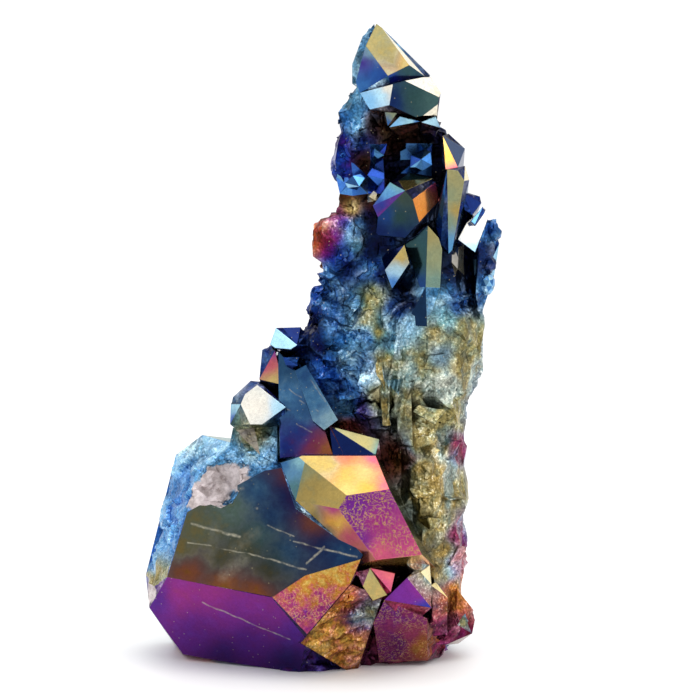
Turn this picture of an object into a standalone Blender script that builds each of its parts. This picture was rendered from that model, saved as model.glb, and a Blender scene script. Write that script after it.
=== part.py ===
"""A coated quartz cluster: crystals grown together on one rough stone, cut flat underneath."""

import math
import random

import bmesh
import bpy
from mathutils import Matrix
from mathutils import Vector
from mathutils import noise

# Lengths are in millimetres. The finished mesh is scaled to metres.
MM = 0.001
VIEW_TILT = math.radians(7.0)
EYE_DISTANCE = 400.0
MIDDLE = Vector((5.6, 0.0, 43.6))
MIDDLE_RISE = 42.7
ROUGH_STEP = 2.3
ROUGH_CHIP = 6.0
ROUGH_DEPTH = 1.0
TIP_SLOPE = math.radians(51.8)
FLAT_ANGLE = math.radians(0.6)
SHORT = 0.09
BASE_LEVEL = 0.0


def spot(across, rise, depth):
    """The point seen from in front at across and rise, at the given depth behind the middle."""
    look = Vector((0.0, math.cos(VIEW_TILT), -math.sin(VIEW_TILT)))
    upward = Vector((0.0, math.sin(VIEW_TILT), math.cos(VIEW_TILT)))
    eye = MIDDLE - look * EYE_DISTANCE
    target = MIDDLE + Vector((across - MIDDLE.x, 0.0, 0.0)) + upward * (rise - MIDDLE_RISE)
    share = (depth - eye.y) / (target.y - eye.y)
    return eye + (target - eye) * share


def on_face(across, rise, first, second, third):
    """The point seen at across and rise that lies in the plane of three points."""
    near = spot(across, rise, -40.0)
    far = spot(across, rise, 40.0)
    normal = (second - first).cross(third - first).normalized()
    share = (first - near).dot(normal) / (far - near).dot(normal)
    return near + (far - near) * share


def add_object(name, bm):
    """Makes an object of the given mesh data."""
    mesh = bpy.data.meshes.new(name)
    bm.to_mesh(mesh)
    bm.free()
    made = bpy.data.objects.new(name, mesh)
    bpy.context.scene.collection.objects.link(made)
    return made


def hull(name, points):
    """A solid whose corners are the given points."""
    bm = bmesh.new()
    for point in points:
        bm.verts.new(point)
    found = bmesh.ops.convex_hull(bm, input=list(bm.verts))
    inner = [v for v in found["geom_interior"] if isinstance(v, bmesh.types.BMVert)]
    bmesh.ops.delete(bm, geom=inner, context="VERTS")
    loose = [v for v in bm.verts if not v.link_faces]
    bmesh.ops.delete(bm, geom=loose, context="VERTS")
    bmesh.ops.dissolve_limit(bm, angle_limit=FLAT_ANGLE, verts=list(bm.verts), edges=list(bm.edges))
    bmesh.ops.recalc_face_normals(bm, faces=list(bm.faces))
    return add_object(name, bm)


def cut_away(bm, point, normal):
    """Cuts the solid by a plane and closes the cut."""
    parts = list(bm.verts) + list(bm.edges) + list(bm.faces)
    done = bmesh.ops.bisect_plane(
        bm, geom=parts, dist=0.0001, plane_co=point, plane_no=normal, clear_outer=True
    )
    rim = [e for e in done["geom_cut"] if isinstance(e, bmesh.types.BMEdge)]
    if len(rim) > 2:
        bmesh.ops.contextual_create(bm, geom=rim)


def cut_crystal(name, inside, planes):
    """A crystal around an inner point, bounded by flat faces that are each given by three points."""
    bm = bmesh.new()
    bmesh.ops.create_cube(bm, size=60.0)
    bmesh.ops.translate(bm, vec=inside, verts=list(bm.verts))
    for first, second, third in planes:
        normal = (second - first).cross(third - first).normalized()
        if (inside - first).dot(normal) > 0.0:
            normal = -normal
        cut_away(bm, first, normal)
    bmesh.ops.recalc_face_normals(bm, faces=list(bm.faces))
    return add_object(name, bm)


def turned(foot, tip, spin):
    """The placing that stands a crystal on its foot and points it at its tip."""
    axis = (tip - foot).normalized()
    heading = axis.to_track_quat("Z", "Y").to_matrix().to_4x4()
    return Matrix.Translation(foot) @ heading @ Matrix.Rotation(spin, 4, "Z")


def quartz_point(name, foot, tip, girth, seed, squash=1.0):
    """A six-sided crystal with a six-faced tip, its faces unequal as they grow."""
    chance = random.Random(seed)
    length = (tip - foot).length
    bm = bmesh.new()
    bmesh.ops.create_cube(bm, size=2.0)
    bmesh.ops.scale(bm, vec=Vector((girth * 1.6, girth * 1.6, length * 0.5)), verts=list(bm.verts))
    bmesh.ops.translate(bm, vec=Vector((0.0, 0.0, length * 0.5)), verts=list(bm.verts))
    for side in range(6):
        turn = math.radians(60.0 * side)
        outward = Vector((math.cos(turn), math.sin(turn), 0.0))
        cut_away(bm, outward * girth * chance.uniform(0.78, 1.1), outward)
    for side in range(6):
        turn = math.radians(60.0 * side)
        outward = Vector((math.cos(turn), math.sin(turn), 0.0))
        slope = outward * math.sin(TIP_SLOPE) + Vector((0.0, 0.0, math.cos(TIP_SLOPE)))
        drop = chance.uniform(0.0, 0.12) if side % 2 else chance.uniform(0.12, 0.45)
        cut_away(bm, Vector((0.0, 0.0, length - girth * drop)), slope)
    bmesh.ops.scale(bm, vec=Vector((1.0, squash, 1.0)), verts=list(bm.verts))
    bmesh.ops.transform(bm, matrix=turned(foot, tip, chance.uniform(0.0, math.pi)), verts=list(bm.verts))
    bmesh.ops.recalc_face_normals(bm, faces=list(bm.faces))
    return add_object(name, bm)


def chipped(place, size, depth):
    """How far a broken surface stands out at a place: flat chips, each leaning its own way."""
    corner = noise.voronoi(place / size, distance_metric="DISTANCE")[1][0]
    lean = noise.cell_vector(corner * 7.0) - Vector((0.5, 0.5, 0.5))
    offset = (place / size - corner).dot(lean) * 2.2
    level = noise.cell(corner * 3.0)
    return (offset + level * 0.8) * depth


def roughen(bm, size, depth):
    """Moves the points of a mesh along their normals to make a broken surface."""
    bm.normal_update()
    moves = []
    for vert in bm.verts:
        coarse = chipped(vert.co, size, depth)
        fine = chipped(vert.co + Vector((50.0, 0.0, 0.0)), size * 0.6, depth * 0.25)
        amount = coarse + fine
        moves.append((vert, vert.normal * amount))
    for vert, move in moves:
        vert.co += move


def lump(name, centre, radii, seed, depth=0.7, detail=2):
    """A rounded lump with a broken surface."""
    bm = bmesh.new()
    bmesh.ops.create_icosphere(bm, subdivisions=detail, radius=1.0)
    bmesh.ops.scale(bm, vec=Vector(radii), verts=list(bm.verts))
    bmesh.ops.translate(bm, vec=centre, verts=list(bm.verts))
    bm.normal_update()
    for vert in bm.verts:
        shift = Vector((seed * 13.0, seed * 5.0, 0.0))
        vert.co += vert.normal * chipped(vert.co + shift, 3.2, depth)
    return add_object(name, bm)


def summit_point():
    """The pointed crystal at the top: a gold face, a bright right side and a dark face below."""
    apex = spot(9.3, 88.4, 0.0)
    gold_right = spot(13.9, 82.6, -3.6)
    gold_low = spot(10.9, 81.1, -4.4)
    gold_left = on_face(7.8, 85.3, apex, gold_right, gold_low)
    shoulder = on_face(10.1, 87.8, apex, gold_right, gold_low)
    dark_right = spot(16.0, 81.1, -2.6)
    dark_low = on_face(11.2, 80.1, gold_right, gold_low, dark_right)
    bright_right = spot(16.8, 81.2, -0.6)
    left_low = spot(7.0, 78.7, -2.2)
    left_mid = on_face(7.4, 83.9, gold_left, gold_low, left_low)
    left_edge = on_face(6.4, 80.2, gold_left, gold_low, left_low)
    hidden = [spot(9.2, 88.2, 1.6), spot(6.4, 80.0, 3.6), spot(12.0, 80.0, 6.4), spot(16.6, 79.6, 3.6)]
    lower = [spot(7.4, 76.0, -1.0), spot(15.8, 76.0, -1.0), spot(15.8, 76.0, 4.0), spot(7.4, 76.0, 4.0)]
    front = [apex, gold_right, gold_low, gold_left, shoulder, dark_right, dark_low, bright_right]
    hull("summit", front + [left_low, left_mid, left_edge] + hidden + lower)
    rim = [
        spot(9.0, 88.6, 1.2), spot(7.4, 86.7, 1.0), spot(5.9, 82.7, 0.6),
        spot(5.9, 80.0, 0.6), spot(7.7, 84.0, -0.6),
    ]
    behind = [
        spot(8.6, 87.4, 2.8), spot(6.4, 79.6, 3.6), spot(9.0, 80.0, -0.6),
        spot(10.0, 80.0, 3.0),
    ]
    hull("summit_rim", rim + behind)


def crest_block():
    """The blocky crystal under the summit, overhanging the cavity."""
    top = spot(13.3, 80.4, -5.6)
    right = spot(18.1, 78.1, -4.6)
    low_left = spot(11.1, 77.0, -5.4)
    top_left = on_face(11.6, 79.9, top, right, low_left)
    low_right = on_face(17.9, 77.1, top, right, low_left)
    foot_right = on_face(15.8, 75.5, top, right, low_left)
    foot_left = on_face(14.8, 75.3, top, right, low_left)
    back_edge = spot(15.8, 80.9, -3.2)
    far_right = on_face(18.3, 78.7, top, right, back_edge)
    far_top = on_face(16.9, 80.9, top, right, back_edge)
    left = spot(7.0, 78.7, -2.6)
    left_foot = on_face(8.4, 76.4, top_left, low_left, left)
    left_low = on_face(8.0, 77.0, top_left, low_left, left)
    front = [top, right, low_left, top_left, low_right, foot_right, foot_left]
    upper = [back_edge, far_right, far_top, left, left_foot, left_low, spot(17.8, 75.5, -3.4)]
    hidden = [spot(7.4, 78.4, 4.0), spot(18.0, 78.8, 3.0), spot(16.6, 80.6, 2.0), spot(8.4, 75.6, 0.0)]
    under = [spot(17.8, 74.8, 0.0), spot(14.8, 74.9, -2.4), spot(8.0, 75.4, 4.6), spot(17.6, 74.6, 4.6)]
    hull("crest", front + upper + hidden + under)


def crest_ring():
    """Small broken faces under the crest."""
    first = [spot(10.5, 76.0, -4.4), spot(12.2, 75.9, -4.6), spot(10.9, 74.1, -3.6), spot(12.3, 75.3, -4.0)]
    hull("ring_left", first + [spot(10.4, 76.0, 0.6), spot(12.4, 75.8, 0.6), spot(11.0, 74.1, 0.6)])
    second = [
        spot(11.1, 73.9, -3.4), spot(12.6, 75.4, -4.3), spot(15.4, 74.7, -4.6),
        spot(15.1, 73.8, -3.8),
    ]
    third = [spot(13.6, 73.8, -3.7), spot(12.5, 72.7, -2.8), spot(12.0, 72.9, -2.6), spot(12.4, 73.4, 1.0)]
    hull("ring_middle", second + third + [spot(15.0, 75.4, 1.0), spot(11.2, 74.6, 1.0)])
    fourth = [
        spot(15.6, 74.6, -4.4), spot(17.6, 75.4, -3.8), spot(18.3, 73.8, -2.8),
        spot(17.5, 72.4, -2.0),
    ]
    behind = [
        spot(15.4, 73.2, -2.6), spot(16.6, 71.4, 0.6), spot(18.4, 74.6, 1.2),
        spot(15.4, 75.0, 1.2),
    ]
    hull("ring_right", fourth + behind)


def cavity_crystals():
    """Small crystals lining the dark cavity."""
    teal = [
        spot(5.7, 72.7, -2.2), spot(6.7, 73.8, -1.4), spot(7.4, 74.1, -1.2),
        spot(7.6, 72.6, -2.4), spot(7.9, 71.0, -1.4),
    ]
    hull("cavity_teal", teal + [spot(7.0, 71.0, -1.8), spot(6.4, 72.6, 1.6), spot(7.6, 72.4, 1.6)])
    blue = [spot(8.3, 71.4, -0.8), spot(10.4, 70.0, -1.2), spot(9.5, 69.5, -1.0), spot(8.2, 70.6, -0.8)]
    hull("cavity_blue", blue + [spot(8.4, 71.2, 1.8), spot(10.2, 69.8, 1.8)])
    royal = [
        spot(8.0, 67.2, -3.0), spot(8.7, 68.2, -2.2), spot(10.4, 67.5, -2.4),
        spot(10.4, 66.6, -3.0), spot(9.6, 65.6, -2.4),
    ]
    hull("cavity_royal", royal + [spot(8.4, 67.8, 1.4), spot(10.2, 66.6, 1.4)])
    pale = [
        spot(4.9, 66.1, -3.0), spot(6.0, 67.1, -2.8), spot(7.1, 67.4, -2.4),
        spot(7.7, 66.8, -2.8), spot(6.9, 65.6, -3.6),
    ]
    behind = [
        spot(6.6, 65.1, -3.0), spot(5.3, 65.4, -3.0), spot(6.0, 66.8, 1.0),
        spot(7.4, 66.2, 1.0),
    ]
    hull("cavity_pale", pale + behind)
    right = [spot(14.0, 68.3, -2.6), spot(14.1, 70.0, -1.8), spot(16.1, 70.9, -1.6), spot(16.9, 70.4, -2.2)]
    right_low = [
        spot(17.1, 68.6, -3.0), spot(15.8, 67.8, -3.6), spot(14.8, 68.3, -3.2),
        spot(15.6, 69.4, -3.4),
    ]
    hull("cavity_right", right + right_low + [spot(14.4, 69.4, 1.6), spot(16.8, 69.4, 1.6)])
    tiny = [
        (8.2, 64.2, -3.0), (8.9, 65.0, -2.8), (9.4, 64.6, -3.2), (9.2, 63.6, -3.2), (8.6, 64.4, 0.4),
        (9.4, 64.2, 0.4),
    ]
    hull("cavity_white", [spot(*place) for place in tiny])


def stub_crystal():
    """The short crystal below the cavity, with an orange right face and a dark front."""
    front_top = spot(13.3, 65.0, -7.4)
    front_low = spot(13.3, 58.4, -6.2)
    front_left = spot(9.5, 61.3, -5.0)
    front_right = on_face(15.3, 60.6, front_top, front_low, front_left)
    left_low = on_face(9.2, 58.8, front_top, front_low, front_left)
    notch = on_face(11.1, 61.7, front_top, front_low, front_left)
    ledge = on_face(14.4, 63.8, front_top, front_low, front_left)
    cap = [spot(11.2, 66.2, -4.6), spot(12.6, 67.1, -3.2), spot(14.0, 67.5, -2.4), spot(15.7, 67.0, -3.2)]
    tan = [spot(12.4, 66.4, -5.2), spot(13.7, 65.1, -6.9), spot(12.7, 65.1, -6.7)]
    orange = [spot(17.2, 66.7, -3.6), spot(17.6, 66.2, -3.6), spot(18.1, 63.6, -3.8)]
    hidden = [spot(11.0, 66.2, 1.0), spot(17.6, 66.4, 1.0), spot(9.0, 62.9, -2.6), spot(8.8, 62.9, -4.0)]
    low = [spot(9.6, 57.0, 0.0), spot(17.8, 59.0, 0.0), spot(13.4, 56.6, -4.0)]
    front = [front_top, front_low, front_left, front_right, left_low, notch, ledge]
    hull("stub", front + cap + tan + orange + hidden + low)


def tall_prism():
    """The tall prism right of the cavity, and its yellow top."""
    top = [
        spot(18.5, 69.3, -3.2), spot(18.6, 72.7, -0.8), spot(20.7, 68.3, -3.6),
        spot(20.6, 67.8, -3.6), spot(19.0, 68.0, -4.2),
    ]
    behind = [
        spot(19.4, 73.0, 1.6), spot(21.7, 70.9, 1.6), spot(21.4, 67.0, 1.6),
        spot(18.4, 67.0, 1.6),
    ]
    hull("prism_top", top + behind)
    upper_left = spot(19.2, 68.0, -4.8)
    upper_right = spot(20.7, 67.8, -4.6)
    low = spot(19.4, 56.2, -6.8)
    right = on_face(21.6, 66.4, upper_left, upper_right, low)
    edge = on_face(20.9, 62.3, upper_left, upper_right, low)
    corner = on_face(19.9, 56.7, upper_left, upper_right, low)
    left = spot(18.0, 63.3, -4.4)
    left_low = spot(17.6, 60.1, -5.2)
    foot = spot(18.3, 57.4, -6.2)
    hidden = [
        spot(21.7, 68.5, -2.4), spot(22.3, 66.5, -2.0), spot(21.8, 64.7, -2.2),
        spot(21.6, 60.0, 0.0), spot(18.0, 66.0, 0.6),
    ]
    back = [spot(20.6, 56.0, 0.0), spot(18.0, 57.0, 0.0), spot(22.2, 66.4, 1.4)]
    hull("prism", [upper_left, upper_right, low, right, edge, corner, left, left_low, foot] + hidden + back)


def right_group():
    """The dark block, the bright blade and the rough rim at the right edge."""
    dark = [
        spot(21.4, 64.8, -2.6), spot(23.8, 64.2, -1.0), spot(24.0, 63.3, -1.2),
        spot(22.7, 61.6, -2.6), spot(21.6, 62.3, -3.0),
    ]
    hull("edge_dark", dark + [spot(23.8, 64.0, 3.0), spot(21.2, 65.0, 3.0), spot(23.0, 60.6, 3.0)])
    sky = [spot(22.5, 60.7, -3.0), spot(24.2, 62.8, -1.4), spot(24.6, 62.3, -1.4), spot(23.1, 60.3, -3.2)]
    hull("edge_sky", sky + [spot(22.6, 60.0, 0.0), spot(24.4, 62.0, 2.0), spot(23.2, 59.0, 1.0)])
    blade_top = spot(24.4, 62.6, -0.8)
    blade_left = spot(20.7, 58.2, -4.2)
    blade_low = spot(23.1, 56.4, -3.4)
    blade_mid = on_face(22.0, 60.6, blade_top, blade_left, blade_low)
    blade_right = on_face(25.1, 61.6, blade_top, blade_left, blade_low)
    behind = [spot(24.8, 61.4, 2.0), spot(21.4, 57.8, 0.0), spot(23.6, 56.0, 0.6)]
    hull("blade", [blade_top, blade_left, blade_low, blade_mid, blade_right] + behind)
    rim = [
        spot(25.3, 61.0, -0.4), spot(26.4, 58.6, 0.4), spot(26.5, 57.6, 0.4),
        spot(25.8, 56.0, 0.0), spot(25.8, 53.2, 0.0),
    ]
    lower = [
        spot(24.5, 50.5, -0.6), spot(23.6, 55.0, -2.6), spot(23.2, 50.6, -2.8),
        spot(23.6, 59.6, -2.0), spot(23.8, 47.0, 0.0),
    ]
    behind = [
        spot(25.2, 58.0, 4.4), spot(24.8, 52.0, 4.4), spot(23.0, 60.0, 5.0),
        spot(23.0, 47.0, 4.0),
    ]
    hull("rim", rim + lower + behind)
    for index, place in enumerate([(25.5, 59.4, 0.0), (25.0, 54.6, -0.8), (24.6, 51.8, -1.0)]):
        lump("rim_lump_%d" % index, spot(*place), (1.1, 1.5, 1.4), index + 3, 0.5)


def front_blades():
    """Upright blades in front of the tall prism, and the leaning crystal left of them."""
    top = spot(16.5, 60.1, -7.0)
    right = spot(18.5, 56.8, -7.0)
    low = spot(16.2, 51.5, -8.4)
    upper = on_face(18.0, 58.4, top, right, low)
    lower = on_face(18.2, 51.4, top, right, low)
    side = [spot(15.7, 59.8, -6.4), spot(15.4, 51.5, -7.8), spot(13.3, 57.4, -5.0), spot(12.9, 51.2, -5.6)]
    hidden = [
        spot(16.8, 60.0, 0.0), spot(18.9, 56.8, 0.0), spot(13.4, 56.8, 0.0),
        spot(18.6, 50.0, 0.0), spot(13.0, 46.0, -1.0),
    ]
    behind = [
        spot(13.3, 46.2, -6.0), spot(16.4, 46.0, -7.0),
    ]
    hull("blades", [top, right, low, upper, lower] + side + hidden + behind)
    tan_top = spot(13.2, 57.4, -6.8)
    tan_low = spot(11.5, 51.3, -7.8)
    tan_left = spot(10.5, 53.9, -6.6)
    tan_right = on_face(13.9, 54.9, tan_top, tan_low, tan_left)
    tan_foot = on_face(12.9, 53.9, tan_top, tan_low, tan_left)
    rest = [
        spot(9.9, 56.0, -4.2), spot(12.0, 57.2, -4.6), spot(10.6, 50.6, -3.0),
        spot(13.4, 51.0, -3.0), spot(13.6, 57.0, -2.0),
    ]
    hull("leaning", [tan_top, tan_low, tan_left, tan_right, tan_foot] + rest)


def round_lobe():
    """The rounded, stepped lobe on the upper left."""
    main = lump("lobe", spot(4.1, 58.2, -2.4), (3.7, 3.9, 4.0), 1, 0.35, 3)
    step = [
        spot(0.2, 59.6, -3.6), spot(2.0, 61.4, -3.4), spot(5.6, 61.2, -4.6),
        spot(7.2, 59.4, -4.6), spot(7.4, 57.2, -5.0),
    ]
    low = [
        spot(5.6, 54.4, -5.2), spot(3.6, 53.6, -4.6), spot(0.4, 55.8, -4.0),
        spot(4.4, 58.4, -6.4), spot(3.6, 55.6, -6.2),
    ]
    behind = [
        spot(1.0, 57.0, 1.0), spot(7.0, 58.0, 1.0), spot(4.0, 60.4, 1.0),
        spot(4.0, 54.0, 1.0),
    ]
    hull("lobe_step", step + low + behind)
    ledge = [spot(1.0, 53.4, -4.6), spot(2.1, 53.9, -4.2), spot(3.8, 53.2, -4.8), spot(2.7, 52.6, -5.0)]
    hull("lobe_ledge", ledge + [spot(1.0, 53.0, 0.0), spot(4.0, 53.0, 0.0), spot(2.6, 51.6, -2.6)])
    return main


def left_stair():
    """Crystals stepping down the left slope."""
    sky = [
        spot(-5.6, 43.5, -3.4), spot(-4.8, 45.8, -1.8), spot(-3.8, 45.8, -2.0),
        spot(-1.8, 43.4, -4.6), spot(-2.7, 42.8, -4.8),
    ]
    dark = [spot(-4.9, 43.0, -4.0), spot(-1.3, 45.9, -1.6), spot(-0.3, 45.1, -2.2), spot(0.0, 43.3, -3.8)]
    behind = [
        spot(-5.0, 42.6, 1.6), spot(-1.0, 45.4, 1.6), spot(0.0, 42.6, 1.0),
        spot(-2.0, 41.8, -1.8),
    ]
    hull("stair_sky", sky + dark + behind)
    small = [
        spot(-3.8, 41.7, -4.4), spot(-1.5, 41.7, -4.8), spot(-1.7, 40.5, -5.6),
        spot(-2.4, 40.0, -5.4), spot(-3.4, 40.6, -5.0),
    ]
    hull("stair_small", small + [spot(-3.6, 41.4, 0.0), spot(-1.4, 41.4, 0.0), spot(-2.4, 39.4, -2.0)])
    narrow = [
        spot(-6.7, 42.7, -1.6), spot(-5.6, 43.5, -1.4), spot(-4.9, 42.6, -3.4),
        spot(-3.8, 37.8, -5.2), spot(-7.1, 38.6, -3.6),
    ]
    behind = [
        spot(-6.7, 40.5, -2.4), spot(-6.6, 42.0, 1.6), spot(-4.6, 42.4, 1.6),
        spot(-6.8, 37.0, 1.6), spot(-3.8, 36.6, -1.6),
    ]
    hull("stair_narrow", narrow + behind)


def bright_crystal():
    """The bright-faced crystal half way down the left slope."""
    top = spot(-7.4, 37.8, -4.0)
    right = spot(-3.4, 34.7, -7.6)
    low = spot(-8.4, 32.3, -7.2)
    corner = on_face(-6.7, 32.3, top, right, low)
    left = on_face(-9.7, 35.1, top, right, low)
    upper = on_face(-9.1, 36.5, top, right, low)
    outer = [
        spot(-11.2, 32.3, -4.0), spot(-11.1, 35.1, -3.0), spot(-10.8, 36.1, -2.6),
        spot(-8.3, 38.4, -2.0), spot(-7.0, 38.3, -2.6),
    ]
    under = [spot(-8.4, 31.8, -6.6), spot(-10.4, 31.5, -4.4), spot(-3.6, 32.0, -5.4)]
    hidden = [spot(-10.8, 34.0, 2.6), spot(-8.2, 38.0, 2.6), spot(-4.0, 36.4, 0.0), spot(-9.6, 31.0, 2.0)]
    hull("bright", [top, right, low, corner, left, upper] + outer + under + hidden)
    shaft = [
        spot(-10.8, 31.8, -4.0), spot(-11.3, 29.2, -4.6), spot(-7.0, 28.0, -7.8),
        spot(-4.5, 26.8, -8.6), spot(-4.6, 32.6, -5.6),
    ]
    behind = [
        spot(-10.6, 31.0, 2.0), spot(-4.0, 31.0, 2.0), spot(-11.0, 27.0, 2.0),
        spot(-8.0, 32.6, -4.6), spot(-10.6, 26.0, -3.0),
    ]
    hull("shaft", shaft + behind)


def side_plates():
    """The two large flat plates in the middle of the left slope."""
    top = spot(-4.5, 42.6, -3.4)
    right = spot(3.2, 28.1, -9.6)
    left = spot(-4.2, 27.6, -9.0)
    shoulder = on_face(-2.0, 39.8, top, right, left)
    bend = on_face(0.3, 32.9, top, right, left)
    corner = on_face(2.0, 31.6, top, right, left)
    edge = on_face(-4.0, 34.9, top, right, left)
    hidden = [
        spot(-4.6, 42.0, 0.0), spot(-4.6, 26.0, -2.0), spot(3.0, 26.0, -3.0),
        spot(1.6, 33.0, -2.0), spot(-2.0, 39.6, 0.0),
    ]
    hull("plate_large", [top, right, left, shoulder, bend, corner, edge] + hidden)
    upper = spot(-2.1, 39.8, -5.6)
    upper_right = spot(-0.6, 40.6, -5.8)
    low = spot(2.0, 31.5, -9.2)
    low_right = on_face(3.9, 32.9, upper, upper_right, low)
    kink = on_face(0.4, 32.8, upper, upper_right, low)
    behind = [spot(-0.4, 40.4, 0.0), spot(4.2, 32.6, -2.0), spot(-2.0, 39.4, 0.0), spot(1.0, 30.0, -3.0)]
    hull("plate_small", [upper, upper_right, low, low_right, kink] + behind)


def ridge_faces():
    """The long ridge and smooth face in the middle, and the small faces above the gold crystal."""
    ridge = [
        spot(9.1, 47.5, -5.4), spot(11.3, 32.1, -8.8), spot(10.0, 44.7, -6.0),
        spot(8.6, 47.4, -4.8), spot(10.2, 32.1, -8.2),
    ]
    behind = [
        spot(8.4, 46.0, 0.0), spot(12.0, 46.0, 0.0), spot(12.0, 31.0, -2.0),
        spot(9.0, 31.0, -2.0),
    ]
    hull("ridge", ridge + behind)
    top = spot(9.9, 44.7, -6.0)
    low = spot(12.7, 29.5, -9.0)
    right = spot(14.2, 35.3, -7.2)
    upper = on_face(13.7, 41.7, top, low, right)
    foot = on_face(14.4, 29.3, top, low, right)
    behind = [spot(10.4, 44.0, 0.0), spot(14.6, 41.0, 0.0), spot(14.8, 29.0, -2.0), spot(11.0, 28.0, -4.0)]
    hull("smooth_face", [top, low, right, upper, foot] + behind)
    navy = [
        spot(2.7, 32.1, -8.2), spot(7.6, 28.1, -9.8), spot(3.2, 28.1, -10.0),
        spot(9.7, 30.2, -8.2), spot(9.9, 27.3, -10.2),
    ]
    behind = [
        spot(9.2, 28.0, -10.0), spot(3.0, 31.0, -1.0), spot(10.0, 30.0, -1.0),
        spot(3.2, 26.0, -4.0), spot(10.0, 26.0, -4.0),
    ]
    hull("collar", navy + behind)


def gold_crystal():
    """The large crystal in front: gold above, violet at the right and orange below."""
    top_left = spot(-1.1, 27.9, -10.8)
    top_right = spot(9.2, 27.9, -11.2)
    front = spot(4.9, 22.3, -16.6)
    right = on_face(11.1, 23.2, top_left, top_right, front)
    left = on_face(3.5, 23.1, top_left, top_right, front)
    side = on_face(0.1, 26.2, top_left, top_right, front)
    toe = spot(9.2, 13.3, -17.2)
    heel = on_face(15.7, 14.0, right, front, toe)
    seam = on_face(4.1, 20.3, right, front, toe)
    outer = spot(-2.0, 21.6, -13.6)
    edge = on_face(-0.8, 26.7, side, left, outer)
    brink = spot(-4.1, 26.9, -10.2)
    belly = on_face(3.4, 16.7, outer, seam, toe)
    planes = [
        (top_left, top_right, front),
        (right, front, toe),
        (side, left, outer),
        (outer, seam, toe),
        (edge, outer, brink),
        (top_right, right, heel),
        (top_left, top_right, spot(4.0, 29.4, -2.0)),
        (brink, top_left, spot(-3.6, 27.8, -2.0)),
        (brink, outer, spot(-4.0, 20.0, -2.0)),
        (toe, heel, spot(12.0, 11.0, -4.0)),
        (outer, belly, spot(0.0, 13.0, -5.0)),
        (spot(0.0, 20.0, -2.0), spot(6.0, 20.0, -2.0), spot(0.0, 26.0, -2.0)),
    ]
    cut_crystal("gold", spot(5.0, 20.0, -9.0), planes)


def lower_right_crystals():
    """Small stepped crystals at the lower right of the gold crystal, and the foot knob."""
    gold = [
        spot(12.5, 14.6, -11.6), spot(13.4, 14.9, -11.0), spot(15.8, 13.7, -10.0),
        spot(15.5, 11.9, -11.4), spot(14.7, 11.9, -12.0),
    ]
    behind = [
        spot(13.8, 12.4, -12.2), spot(16.8, 12.6, -8.6), spot(16.0, 13.0, -3.0),
        spot(13.0, 13.0, -3.0), spot(14.6, 10.4, -8.0),
    ]
    hull("step_gold", gold + behind)
    top_left = spot(13.6, 10.8, -12.6)
    top_right = spot(15.5, 11.6, -11.2)
    low_left = spot(10.4, 7.7, -12.8)
    low = on_face(16.4, 5.2, top_left, top_right, low_left)
    low_right = on_face(16.8, 6.4, top_left, top_right, low_left)
    pale = [spot(16.1, 13.3, -9.4), spot(16.8, 12.6, -8.8), spot(17.0, 9.9, -9.0), spot(17.0, 6.6, -9.4)]
    hidden = [
        spot(16.8, 6.0, -2.0), spot(16.6, 12.6, -2.0), spot(12.0, 4.0, -4.0),
        spot(11.0, 9.0, -6.0), spot(14.0, 4.0, -9.0),
    ]
    hull("step_violet", [top_left, top_right, low_left, low, low_right] + pale + hidden)
    yellow = [
        spot(16.9, 9.8, -8.6), spot(17.6, 10.2, -7.6), spot(18.6, 9.8, -6.6),
        spot(19.3, 8.7, -6.4), spot(19.3, 8.0, -6.8),
    ]
    behind = [
        spot(17.1, 6.7, -9.0), spot(19.0, 9.0, -1.0), spot(17.0, 9.0, -1.0),
        spot(19.2, 2.6, -5.4), spot(16.8, 2.6, -7.4),
    ]
    hull("step_yellow", yellow + behind)
    knob = [
        spot(20.6, 9.2, -3.6), spot(22.9, 6.3, -2.2), spot(23.1, 4.9, -2.2),
        spot(22.7, 3.0, -2.4), spot(19.2, 1.5, -4.6),
    ]
    behind = [
        spot(20.6, 4.2, -5.0), spot(21.9, 5.8, -4.0), spot(22.6, 5.6, 3.0),
        spot(20.0, 9.4, 3.0), spot(20.8, 1.6, 2.0), spot(16.6, 1.0, -4.6),
    ]
    hull("foot_knob", knob + behind)


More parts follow.
